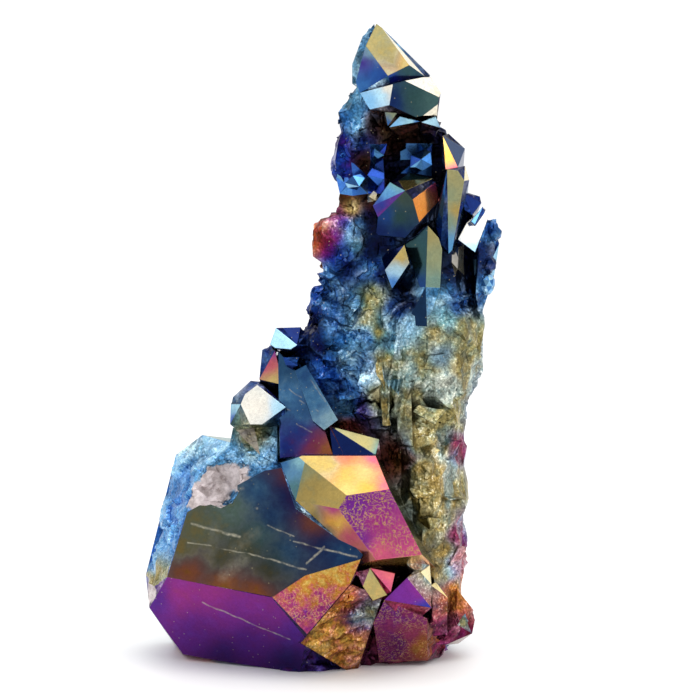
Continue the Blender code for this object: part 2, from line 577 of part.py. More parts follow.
def lower_front():
    """Faces between the gold crystal and the ground."""
    stripe = [
        spot(6.3, 11.6, -15.4), spot(8.4, 12.2, -15.0), spot(10.8, 8.4, -13.6),
        spot(8.8, 7.6, -14.6), spot(7.4, 9.6, -15.4),
    ]
    behind = [
        spot(6.0, 12.0, -6.0), spot(11.0, 8.6, -5.0), spot(8.4, 6.0, -8.0),
        spot(5.4, 9.4, -10.0),
    ]
    hull("stripe", stripe + behind)
    pink = [spot(8.4, 12.2, -14.6), spot(11.9, 11.4, -13.2), spot(11.3, 8.8, -13.4), spot(9.9, 8.0, -13.8)]
    hull("pink_face", pink + [spot(12.2, 12.4, -8.0), spot(8.4, 12.6, -8.0), spot(11.0, 7.0, -6.0)])
    veined_left = spot(-5.3, 8.1, -15.0)
    veined_top = spot(7.1, 13.4, -17.4)
    veined_low = spot(-0.4, 2.9, -16.4)
    veined_mid = on_face(-0.7, 11.1, veined_left, veined_top, veined_low)
    veined_right = on_face(5.6, 9.9, veined_left, veined_top, veined_low)
    veined_edge = on_face(-1.8, 4.6, veined_left, veined_top, veined_low)
    hidden = [spot(-5.0, 7.0, -6.0), spot(7.0, 13.0, -6.0), spot(0.0, 0.0, -6.0), spot(6.0, 6.0, -8.0)]
    hull("veined", [veined_left, veined_top, veined_low, veined_mid, veined_right, veined_edge] + hidden)
    ledge_low = spot(8.8, 4.3, -11.2)
    ledge_left = veined_low + Vector((0.1, 0.2, -0.1))
    ledge_top = veined_right + Vector((0.1, 0.2, -0.1))
    planes = [
        (ledge_left, ledge_top, ledge_low),
        (ledge_top, spot(10.5, 8.2, -12.6), spot(8.0, 9.6, -5.0)),
        (ledge_left, ledge_top, spot(0.0, 5.0, -4.0)),
        (ledge_low, spot(10.2, 8.0, -12.0), spot(10.2, 4.0, -2.0)),
        (spot(-0.9, 1.4, -15.0), spot(2.9, -0.8, -12.5), spot(1.0, 0.0, -4.0)),
        (spot(0.0, 0.0, -3.0), spot(6.0, 0.0, -3.0), spot(0.0, 6.0, -3.0)),
        (Vector((0.0, 0.0, -2.0)), Vector((1.0, 0.0, -2.0)), Vector((0.0, 1.0, -2.0))),
    ]
    cut_crystal("ledge_face", spot(5.4, 4.0, -7.0), planes)
    left = spot(10.4, 7.7, -12.2)
    low = spot(9.7, -1.0, -7.4)
    right = spot(16.4, 5.1, -10.0)
    corner = on_face(16.5, -0.8, left, low, right)
    middle = on_face(8.9, 4.4, left, low, right)
    behind = [spot(9.0, 0.0, 0.0), spot(18.6, 0.0, -1.0), spot(17.0, 5.4, -3.0), spot(10.6, 7.4, -3.0)]
    hull("maroon_face", [left, low, right, corner, middle, spot(18.4, 2.0, -4.6)] + behind)


def block_crystal():
    """The large dark block at the lower left, with its bright left edge and chipped shoulder."""
    top_left = spot(-17.2, 20.0, -7.5)
    top_right = spot(-3.8, 26.2, -10.0)
    low_right = spot(-5.2, 8.1, -14.5)
    chip_mid = on_face(-13.6, 21.7, top_left, top_right, low_right)
    chip_right = on_face(-9.5, 23.9, top_left, top_right, low_right)
    shoulder = on_face(-6.4, 25.8, top_left, top_right, low_right)
    front = on_face(0.0, 17.2, top_left, top_right, low_right)
    nose = on_face(-0.7, 11.1, top_left, top_right, low_right)
    low_left = on_face(-20.0, 10.9, top_left, top_right, low_right)
    left_edge = on_face(-16.9, 14.6, top_left, top_right, low_right)
    strip = [
        spot(-15.1, 30.8, 0.6), spot(-18.8, 28.0, 2.4), spot(-20.7, 19.5, 1.8),
        spot(-22.3, 14.0, 1.4), spot(-23.0, 11.2, 1.6),
    ]
    inner = [spot(-15.0, 26.6, -5.6), spot(-17.2, 21.8, -6.6)]
    chip = [spot(-14.6, 26.7, -6.0), spot(-9.8, 26.3, -8.0), spot(-10.6, 29.6, -4.6)]
    base = spot(-13.0, -0.8, -5.5)
    seen = [(-22.5, 6.6), (-20.4, 3.6), (-17.8, 0.1), (-1.8, 4.6), (-0.4, 2.9), (-1.4, -2.3), (-4.2, -2.1)]
    bottom = [on_face(u, v, low_left, low_right, base) for u, v in seen]
    corner = spot(-21.9, 9.6, -5.6)
    reach = [on_face(u, v, top_left, top_right, low_right) for u, v in [(7.4, 14.0), (6.8, 13.0)]]
    hidden = [
        spot(-21.0, 12.0, 9.0), spot(-17.6, 27.6, 9.0), spot(-11.0, 30.0, 8.0),
        spot(-18.0, 0.0, 9.0), spot(-4.0, 28.0, 2.0),
    ]
    core = [spot(-8.0, 30.0, 0.0), spot(0.0, 0.0, -6.0), spot(0.0, 14.0, -6.0)]
    front_faces = [top_left, top_right, low_right, chip_mid, chip_right]
    front_faces += [shoulder, front, nose, low_left, left_edge]
    edges = strip + inner + chip + bottom + [base, corner]
    block = hull("block", front_faces + edges + reach + hidden + core)
    hollow = lump("chip", on_face(-13.0, 23.7, top_left, top_right, low_right), (5.0, 1.9, 3.5), 7, 0.9, 3)
    change = block.modifiers.new("chip", "BOOLEAN")
    change.operation = "DIFFERENCE"
    change.solver = "EXACT"
    change.object = hollow
    bm = evaluated(block)
    bpy.data.objects.remove(block)
    bpy.data.objects.remove(hollow)
    return add_object("block", bm)


def right_slab():
    """The long slab down the right side, with a narrow gap along its left edge."""
    upper = [
        spot(16.8, 51.0, -6.6), spot(22.6, 50.0, -3.4), spot(13.6, 46.0, -6.4),
        spot(24.0, 46.0, -0.6), spot(22.8, 42.0, -3.6),
    ]
    middle = [
        spot(14.2, 30.0, -7.6), spot(21.0, 33.0, -4.6), spot(15.2, 40.0, -7.2),
        spot(22.2, 38.0, -2.0), spot(20.8, 31.0, -2.6),
    ]
    back = [
        spot(24.0, 46.0, 5.0), spot(22.0, 32.0, 5.0), spot(13.0, 46.0, 2.0),
        spot(13.0, 30.0, 2.0), spot(19.0, 52.0, 2.0), spot(20.0, 28.0, 3.0),
    ]
    higher = hull("slab_upper", upper + middle + back)
    lower = [
        spot(15.2, 30.6, -7.6), spot(20.4, 30.8, -4.6), spot(21.3, 21.6, -4.2),
        spot(16.6, 15.0, -8.6), spot(21.6, 15.0, -4.0),
    ]
    foot = [
        spot(17.4, 10.0, -7.8), spot(21.0, 10.0, -3.8), spot(21.4, 8.6, -2.4),
        spot(18.0, 1.0, -4.0), spot(20.4, 26.0, -5.2),
    ]
    rear = [
        spot(21.8, 22.0, 6.0), spot(21.6, 9.0, 6.0), spot(16.0, 30.0, 2.0),
        spot(15.0, 2.0, 2.0), spot(19.0, 0.0, 6.0), spot(20.4, 31.0, 4.0),
    ]
    return [higher, hull("slab_lower", lower + foot + rear)]


def back_crystals():
    """Crystals on the side away from the viewer."""
    places = [
        ((9.0, 3.0, 56.0), (9.6, 11.0, 71.0), 3.8, 11, 0.8),
        ((15.0, 3.0, 52.0), (17.0, 12.0, 64.0), 3.8, 12, 0.8),
        ((17.0, 3.0, 36.0), (19.6, 14.0, 51.0), 4.4, 13, 0.8),
        ((7.0, 4.0, 38.0), (6.6, 16.0, 53.0), 5.2, 14, 0.75),
        ((0.0, 4.0, 24.0), (-2.4, 14.0, 38.0), 4.6, 15, 0.8),
        ((12.0, 6.0, 20.0), (14.0, 19.0, 35.0), 5.6, 16, 0.8),
        ((2.0, 6.0, 12.0), (0.0, 19.0, 25.0), 6.2, 17, 0.75),
        ((-8.0, 4.0, 10.0), (-14.0, 15.0, 22.0), 5.0, 18, 0.8),
        ((12.0, 6.0, 5.0), (15.6, 16.0, 12.0), 4.8, 19, 0.8),
    ]
    for index, (foot, tip, girth, seed, squash) in enumerate(places):
        quartz_point("back_%d" % index, Vector(foot), Vector(tip), girth, seed, squash)


def small_crystals():
    """Short points standing out of the rough parts on every side."""
    chance = random.Random(41)
    beds = [
        ((5.6, 75.0, 0.6), (0.9, 6.0, 0.6), (-0.5, -0.8, 0.4), 6, 1.0),
        ((4.6, 68.6, -0.8), (1.2, 2.0, 0.6), (-0.5, -0.9, 0.3), 5, 1.2),
        ((11.0, 69.5, 0.6), (4.6, 2.4, 0.6), (0.0, -1.0, 0.3), 5, 0.9),
        ((22.0, 57.0, 3.0), (0.8, 5.0, 1.8), (0.8, 0.5, 0.4), 5, 1.4),
        ((20.6, 36.0, 4.0), (0.6, 9.0, 2.0), (0.7, 0.6, 0.4), 5, 1.7),
        ((19.0, 18.0, 5.0), (0.6, 8.0, 2.4), (0.7, 0.6, 0.3), 5, 1.9),
        ((10.0, 64.0, 6.0), (5.0, 8.0, 0.8), (0.0, 1.0, 0.5), 7, 1.7),
        ((11.0, 44.0, 7.5), (9.0, 9.0, 1.0), (0.0, 1.0, 0.5), 8, 2.1),
        ((4.0, 17.0, 12.0), (15.0, 10.0, 1.6), (0.0, 1.0, 0.5), 11, 2.3),
        ((2.0, 51.0, 4.4), (1.0, 5.0, 1.0), (-0.3, 0.9, 0.5), 5, 1.4),
        ((-5.0, 35.0, 4.0), (2.0, 4.0, 2.0), (-0.6, 0.7, 0.5), 5, 1.6),
    ]
    for bed, (centre, spread, lean, count, girth) in enumerate(beds):
        for index in range(count):
            across = centre[0] + chance.uniform(-1.0, 1.0) * spread[0]
            rise = centre[1] + chance.uniform(-1.0, 1.0) * spread[1]
            depth = centre[2] + chance.uniform(-1.0, 1.0) * spread[2]
            spread_way = (chance.uniform(-0.5, 0.5), chance.uniform(-0.5, 0.5), chance.uniform(-0.4, 0.5))
            way = Vector(lean) + Vector(spread_way)
            size = girth * chance.uniform(0.6, 1.05)
            start = spot(across, rise, depth) - way.normalized() * size * 1.6
            end = start + way.normalized() * size * chance.uniform(2.6, 3.4)
            label = "druse_%d_%d" % (bed, index)
            quartz_point(label, start, end, size, bed * 31 + index, chance.uniform(0.75, 1.0))


def chunk(name, centre, radii, seed):
    """An angular broken piece."""
    chance = random.Random(seed)
    points = []
    for _ in range(9):
        way = Vector((chance.gauss(0.0, 1.0), chance.gauss(0.0, 1.0), chance.gauss(0.0, 1.0))).normalized()
        points.append(centre + Vector((way.x * radii[0], way.y * radii[1], way.z * radii[2])))
    hull(name, points)


def matrix_scales():
    """Broken angular pieces, the stepped ledges on the front of the rough stone."""
    places = [
        (2.0, 50.0, -3.6, 2.4), (6.4, 49.6, -4.4, 2.8), (9.8, 50.4, -4.2, 2.1),
        (1.4, 46.6, -3.8, 2.4), (5.4, 45.6, -5.2, 3.0),
        (8.4, 43.2, -5.4, 2.4), (3.0, 42.2, -4.8, 2.6), (6.4, 40.4, -5.8, 3.0),
        (5.6, 36.6, -6.2, 2.8), (8.6, 37.8, -6.2, 2.4),
        (8.2, 34.0, -6.8, 2.6), (13.0, 47.0, -5.2, 2.6), (17.0, 47.6, -5.4, 3.2),
        (20.4, 45.0, -3.8, 2.4), (16.8, 41.0, -6.0, 3.0),
        (19.4, 36.8, -4.4, 2.6), (16.6, 33.4, -6.8, 2.8), (14.6, 26.4, -7.2, 2.0),
        (15.6, 22.6, -7.6, 2.2), (16.8, 18.6, -7.6, 2.2),
        (16.0, 28.6, -6.8, 2.2), (19.6, 29.0, -4.4, 2.8), (19.4, 22.0, -4.6, 2.8), (19.6, 14.0, -4.6, 2.6),
    ]
    for index, (across, rise, depth, size) in enumerate(places):
        chunk("scale_%d" % index, spot(across, rise, depth), (size, size * 0.7, size * 0.62), index + 5)


def rough_matrix():
    """The rough stone under the crystals, made of overlapping blocks and broken all over."""
    foot = [
        (-15, 4, -3), (-8, -4, -3), (-3, -9, -3), (0, -11, -3), (3, -9, -3),
        (9, -3, -3), (18, -1, -3), (19, 8, -3),
    ]
    foot_top = [
        (-13, 1, 25), (-3, -6, 26), (6, -8, 27), (14, -6, 27), (19, -3, 27),
        (19, 8, 26), (10, 13, 24), (-6, 13, 24),
    ]
    foot_back = [(12, 14, -3), (-6, 15, -3), (-16, 10, -3), (-15, 9, 22)]
    middle = [(-9, -1, 22), (-3, -7, 22), (12, -7, 22), (20, -4, 22), (20, 8, 22), (8, 12, 22), (-8, 9, 22)]
    middle_top = [
        (-4, 0, 41), (-2.5, -1, 45), (0, -4, 48), (4, -5, 50), (14, -6, 50),
        (23, -2, 50), (23, 5, 50), (12, 9, 48), (0, 7, 46),
    ]
    neck = [(-1, -2, 42), (6, -5, 42), (16, -5, 42), (23, -2, 44), (23, 5, 44), (10, 9, 42), (1, 7, 42)]
    neck_top = [(3, -1, 65), (8, -3, 64), (16, -4, 65), (21, -2, 64), (21, 4, 65), (11, 7, 66), (4, 5, 66)]
    throat = [(3.5, 0.5, 60), (20.5, 0.5, 60), (21.5, 4, 60), (20, 1, 70), (11, 7, 60), (4, 5, 60)]
    throat_top = [(5, 0.5, 77), (18, 0.5, 76), (18, 4, 76), (17, 3, 79), (8, 5, 80), (5.5, 4, 77)]
    edge = [
        (19.0, 67.0, 0.4), (23.0, 63.6, 1.4), (25.0, 59.0, 1.4),
        (24.8, 53.0, 1.0), (23.4, 49.0, 0.0), (19.0, 49.0, -2.0),
        (19.0, 58.0, -1.6), (20.0, 67.0, 4.6), (22.6, 61.0, 5.4), (23.6, 50.0, 5.4), (19.0, 50.0, 5.4),
    ]
    step = [
        (-5.0, 42.6, -0.4), (-0.6, 44.0, -0.4), (0.2, 40.0, -1.6), (-4.0, 38.0, -1.6),
        (-4.8, 42.0, 4.0), (0.0, 43.0, 4.0), (0.0, 38.0, 4.0), (-4.0, 38.0, 4.0),
    ]
    shelf = [
        (-2.6, 50.0, -1.6), (-0.6, 52.4, -1.2), (3.0, 51.0, -3.6), (2.4, 47.4, -4.2), (-1.4, 48.4, -3.0),
        (-1.6, 50.0, 3.0), (3.0, 51.0, 3.0), (0.0, 46.0, 3.0), (-2.0, 46.0, 0.0),
    ]
    blocks = right_slab() + [
        hull("matrix_step", [spot(*p) for p in step]),
        hull("matrix_shelf", [spot(*p) for p in shelf]),
        hull("matrix_foot", [Vector(p) for p in foot + foot_top + foot_back]),
        hull("matrix_middle", [Vector(p) for p in middle + middle_top]),
        hull("matrix_neck", [Vector(p) for p in neck + neck_top]),
        hull("matrix_throat", [Vector(p) for p in throat + throat_top]),
        hull("matrix_edge", [spot(*p) for p in edge]),
        hull("matrix_flank", [spot(*p) for p in [
            (5.9, 82.4, 0.4), (4.9, 77.2, 0.0), (4.0, 74.4, -0.4),
            (4.2, 72.0, -1.0), (3.0, 71.2, -1.0), (2.4, 68.6, -1.0),
            (3.4, 65.8, -1.6), (6.0, 66.0, -2.2), (7.6, 70.8, -1.4), (8.0, 77.0, -1.4), (9.0, 80.0, 0.0),
            (6.0, 80.0, 4.0), (4.6, 72.0, 5.0), (4.0, 66.0, 5.0), (10.0, 72.0, 4.0),
        ]]),
    ]
    whole = unite("matrix", blocks)
    change = whole.modifiers.new("even", "REMESH")
    change.mode = "VOXEL"
    change.voxel_size = ROUGH_STEP
    bm = evaluated(whole)
    bpy.data.objects.remove(whole)
    roughen(bm, ROUGH_CHIP, ROUGH_DEPTH)
    bmesh.ops.triangulate(bm, faces=list(bm.faces))
    return add_object("matrix", bm)


def evaluated(thing):
    """The mesh of an object with its modifiers applied."""
    bpy.context.view_layer.update()
    graph = bpy.context.evaluated_depsgraph_get()
    bm = bmesh.new()
    bm.from_mesh(thing.evaluated_get(graph).to_mesh())
    return bm


def unite(name, things):
    """Joins overlapping solids in one."""
    group = bpy.data.collections.new(name + "_parts")
    bpy.context.scene.collection.children.link(group)
    first = things[0]
    for thing in things[1:]:
        group.objects.link(thing)
    change = first.modifiers.new("join", "BOOLEAN")
    change.operation = "UNION"
    change.solver = "EXACT"
    change.operand_type = "COLLECTION"
    change.collection = group
    bm = evaluated(first)
    for thing in things:
        bpy.data.objects.remove(thing)
    bpy.data.collections.remove(group)
    return add_object(name, bm)


def cut_flat(thing):
    """Cuts the stone off flat at the base."""
    sides = [(x, y) for x in (-90, 90) for y in (-90, 90)]
    cutter = hull("below", [Vector((x, y, z)) for x, y in sides for z in (-90, BASE_LEVEL)])
    change = thing.modifiers.new("flat", "BOOLEAN")
    change.operation = "DIFFERENCE"
    change.solver = "EXACT"
    change.object = cutter
    bm = evaluated(thing)
    bpy.data.objects.remove(thing)
    bpy.data.objects.remove(cutter)
    return bm


def largest_piece(bm):
    """Deletes every separate piece but the largest."""
    seen = set()
    pieces = []
    for start in bm.verts:
        if start in seen:
            continue
        piece = [start]
        seen.add(start)
        for vert in piece:
            for edge in vert.link_edges:
                other = edge.other_vert(vert)
                if other not in seen:
                    seen.add(other)
                    piece.append(other)
        pieces.append(piece)
    pieces.sort(key=len, reverse=True)
    for piece in pieces[1:]:
        bmesh.ops.delete(bm, geom=piece, context="VERTS")


def shares_two(edge):
    """Whether an edge can be closed up without pinching the surface."""
    first = {e.other_vert(edge.verts[0]) for e in edge.verts[0].link_edges}
    second = {e.other_vert(edge.verts[1]) for e in edge.verts[1].link_edges}
    return len(first & second) == 2


def close_short(bm, limit):
    """Closes up edges shorter than the limit."""
    for _ in range(6):
        short = [e for e in bm.edges if e.calc_length() < limit]
        if not short:
            return
        for edge in short:
            if not edge.is_valid or not shares_two(edge):
                continue
            middle = (edge.verts[0].co + edge.verts[1].co) * 0.5
            bmesh.ops.pointmerge(bm, verts=list(edge.verts), merge_co=middle)


def clean(bm):
    """Removes slivers left where solids meet."""
    largest_piece(bm)
    bmesh.ops.dissolve_limit(bm, angle_limit=FLAT_ANGLE, verts=list(bm.verts), edges=list(bm.edges))
    bmesh.ops.triangulate(bm, faces=list(bm.faces))
    close_short(bm, SHORT)
    bmesh.ops.recalc_face_normals(bm, faces=list(bm.faces))


def stand_centred(bm):
    """Moves the stone so that the middle of its box, at base level, is the origin."""
    across = [v.co.x for v in bm.verts]
    depth = [v.co.y for v in bm.verts]
    middle = Vector(((min(across) + max(across)) * 0.5, (min(depth) + max(depth)) * 0.5, BASE_LEVEL))
    bmesh.ops.translate(bm, vec=-middle, verts=list(bm.verts))
    print("moved by", -middle)


def coated_quartz():
    """The material of the whole stone."""
    made = bpy.data.materials.new("coated_quartz")
    made.use_nodes = True
    shader = made.node_tree.nodes["Principled BSDF"]
    shader.inputs["Base Color"].default_value = (0.16, 0.24, 0.52, 1.0)
    shader.inputs["Metallic"].default_value = 0.6
    shader.inputs["Roughness"].default_value = 0.25
    return made


def main():
    for old in list(bpy.data.objects):
        bpy.data.objects.remove(old)
    summit_point()
    crest_block()
    crest_ring()
    cavity_crystals()
    stub_crystal()
    tall_prism()
    right_group()
    front_blades()
    round_lobe()
    left_stair()
    bright_crystal()
    side_plates()
    ridge_faces()
    gold_crystal()
    lower_right_crystals()
    lower_front()
    block_crystal()
    back_crystals()
    small_crystals()
    matrix_scales()
    crystals = [thing for thing in bpy.data.objects if thing.type == "MESH"]
    matrix = rough_matrix()
    whole = unite("whole", [matrix] + crystals)
    bm = cut_flat(whole)
    clean(bm)
    stand_centred(bm)
    bmesh.ops.scale(bm, vec=Vector((MM, MM, MM)), verts=list(bm.verts))
    stone = add_object("quartz_cluster", bm)
    stone.data.materials.append(coated_quartz())
    print("triangles", len(stone.data.polygons))


main()
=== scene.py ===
"""Looks of a coated quartz cluster: the stone with its film, the floor, the light and the camera."""

from __future__ import annotations

import logging
import math
from collections.abc import Callable
from dataclasses import dataclass, field
from enum import Enum

import bmesh
import bpy
import numpy as np
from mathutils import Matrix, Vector, noise
from mathutils.bvhtree import BVHTree

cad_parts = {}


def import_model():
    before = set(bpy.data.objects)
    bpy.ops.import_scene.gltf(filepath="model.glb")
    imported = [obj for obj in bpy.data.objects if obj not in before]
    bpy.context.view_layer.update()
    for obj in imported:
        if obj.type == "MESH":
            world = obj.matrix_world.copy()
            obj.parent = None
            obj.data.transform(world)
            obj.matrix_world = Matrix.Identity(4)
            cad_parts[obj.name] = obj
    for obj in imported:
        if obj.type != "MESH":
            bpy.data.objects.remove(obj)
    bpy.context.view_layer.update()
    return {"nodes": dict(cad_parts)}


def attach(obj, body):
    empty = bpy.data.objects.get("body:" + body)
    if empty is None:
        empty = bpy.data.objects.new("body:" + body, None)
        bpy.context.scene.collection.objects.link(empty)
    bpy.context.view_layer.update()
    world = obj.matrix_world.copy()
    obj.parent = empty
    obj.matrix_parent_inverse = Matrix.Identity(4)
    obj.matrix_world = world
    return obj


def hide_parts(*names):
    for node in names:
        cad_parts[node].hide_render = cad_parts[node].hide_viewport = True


MM = 0.001
LOG = logging.getLogger("quartz")
Tree = bpy.types.NodeTree
Socket = bpy.types.NodeSocket


class Film(float, Enum):
    """Colours of the film in the order in which they follow as it gets thicker, from 0 to 1."""

    SILVER = 0.0
    STRAW = 0.08
    GOLD = 0.16
    AMBER = 0.24
    ROSE = 0.32
    MAGENTA = 0.40
    VIOLET = 0.48
    ROYAL = 0.57
    BLUE = 0.65
    SKY = 0.73
    ICE = 0.81
    TEAL = 0.89
    OLIVE = 0.95
    BRASS = 1.0


FILM_COLOURS = {
    Film.SILVER: "F4EEE2",
    Film.STRAW: "F3E2A8",
    Film.GOLD: "F0C45A",
    Film.AMBER: "DC8A38",
    Film.ROSE: "D9607F",
    Film.MAGENTA: "B03A88",
    Film.VIOLET: "6E2FA8",
    Film.ROYAL: "2B49BA",
    Film.BLUE: "3A7ACE",
    Film.SKY: "6DB4EC",
    Film.ICE: "B8E2F4",
    Film.TEAL: "6FAFB2",
    Film.OLIVE: "A4AC84",
    Film.BRASS: "BBA15C",
}


def linear(code: str) -> tuple[float, float, float, float]:
    """Turns an sRGB hex colour to linear light.

    Args:
        code: six hex digits.

    Returns:
        Red, green, blue and an alpha of one.
    """
    parts = [int(code[start : start + 2], 16) / 255.0 for start in (0, 2, 4)]
    red, green, blue = (c / 12.92 if c <= 0.04045 else ((c + 0.055) / 1.055) ** 2.4 for c in parts)
    return red, green, blue, 1.0


def film_colour(film: np.ndarray) -> np.ndarray:
    """The colour of the film.

    Args:
        film: how thick it is, from 0 to 1.

    Returns:
        Rows of red, green and blue in linear light.
    """
    places = [float(item) for item in FILM_COLOURS]
    parts = np.array([linear(code)[:3] for code in FILM_COLOURS.values()])
    return np.stack([np.interp(film, places, parts[:, band]) for band in range(3)], axis=-1)


def clamp(value: float, top: float = 1.0) -> float:
    """Holds a value between zero and a top."""
    return min(max(value, 0.0), top)


def measure_all(points: np.ndarray, measure: Callable[[Vector], float]) -> np.ndarray:
    """Takes a measure at many points.

    Args:
        points: rows of x, y and z.
        measure: gives the number at one point.

    Returns:
        A number for each point.
    """
    return np.array([measure(Vector(row)) for row in points])


@dataclass(frozen=True)
class Sight:
    """The line of sight from in front, slightly above, in which places are given.

    Lengths are in millimetres and angles in degrees.
    """

    tilt: float = 7.0
    eye_distance: float = 400.0
    middle: tuple[float, float, float] = (3.856, -0.663, 43.6)
    middle_across: float = 5.6
    middle_rise: float = 42.7

    def axes(self) -> tuple[Vector, Vector]:
        """The way the eye looks and what is upward for it."""
        turn = math.radians(self.tilt)
        look = Vector((0.0, math.cos(turn), -math.sin(turn)))
        return look, Vector((0.0, math.sin(turn), math.cos(turn)))

    def eye(self) -> Vector:
        """Where the eye is."""
        return Vector(self.middle) - self.axes()[0] * self.eye_distance

    def way(self, across: float, rise: float) -> Vector:
        """The way from the eye to what is seen at across and rise."""
        aside = Vector((across - self.middle_across, 0.0, 0.0))
        target = Vector(self.middle) + aside + self.axes()[1] * (rise - self.middle_rise)
        return (target - self.eye()).normalized()

    def seen(self, points: np.ndarray) -> np.ndarray:
        """Where points are seen.

        Args:
            points: rows of x, y and z.

        Returns:
            Rows of across and rise.
        """
        look, upward = (np.array(axis) for axis in self.axes())
        away = points - np.array(self.eye())
        scale = self.eye_distance / (away @ look)
        across = away[:, 0] * scale + self.middle_across
        rise = (away @ upward) * scale + self.middle_rise
        return np.stack([across, rise], axis=1)


SIGHT = Sight()


@dataclass(frozen=True)
class Stop:
    """The film and its brightness at one place, as seen from in front. The brightness is painted light and
    shade: low where a face mirrors the dark room, high where it mirrors a lamp.
    """

    across: float
    rise: float
    film: float
    tone: float = 1.0


@dataclass(frozen=True)
class Face:
    """One crystal face and how its film runs. The first stop lies on the face.

    Etched says how strongly growth marks show, bare how much of the film is missing, worn how far the
    face is rough, mottled how far its colours change in blotches, and soft over how many millimetres
    the stops run together.
    """

    name: str
    stops: tuple[Stop, ...]
    etched: float = 0.0
    bare: float = 0.0
    worn: float = 0.0
    mottled: float = 0.0
    soft: float = 0.25


def face(name: str, *stops: tuple[float, ...], **wear: float) -> Face:
    """Names a face and its stops.

    Args:
        name: what the face is.
        stops: across, rise, film and, if it isn't one, tone.
        wear: what differs from the usual face.

    Returns:
        The face.
    """
    return Face(name, tuple(Stop(*stop) for stop in stops), **wear)
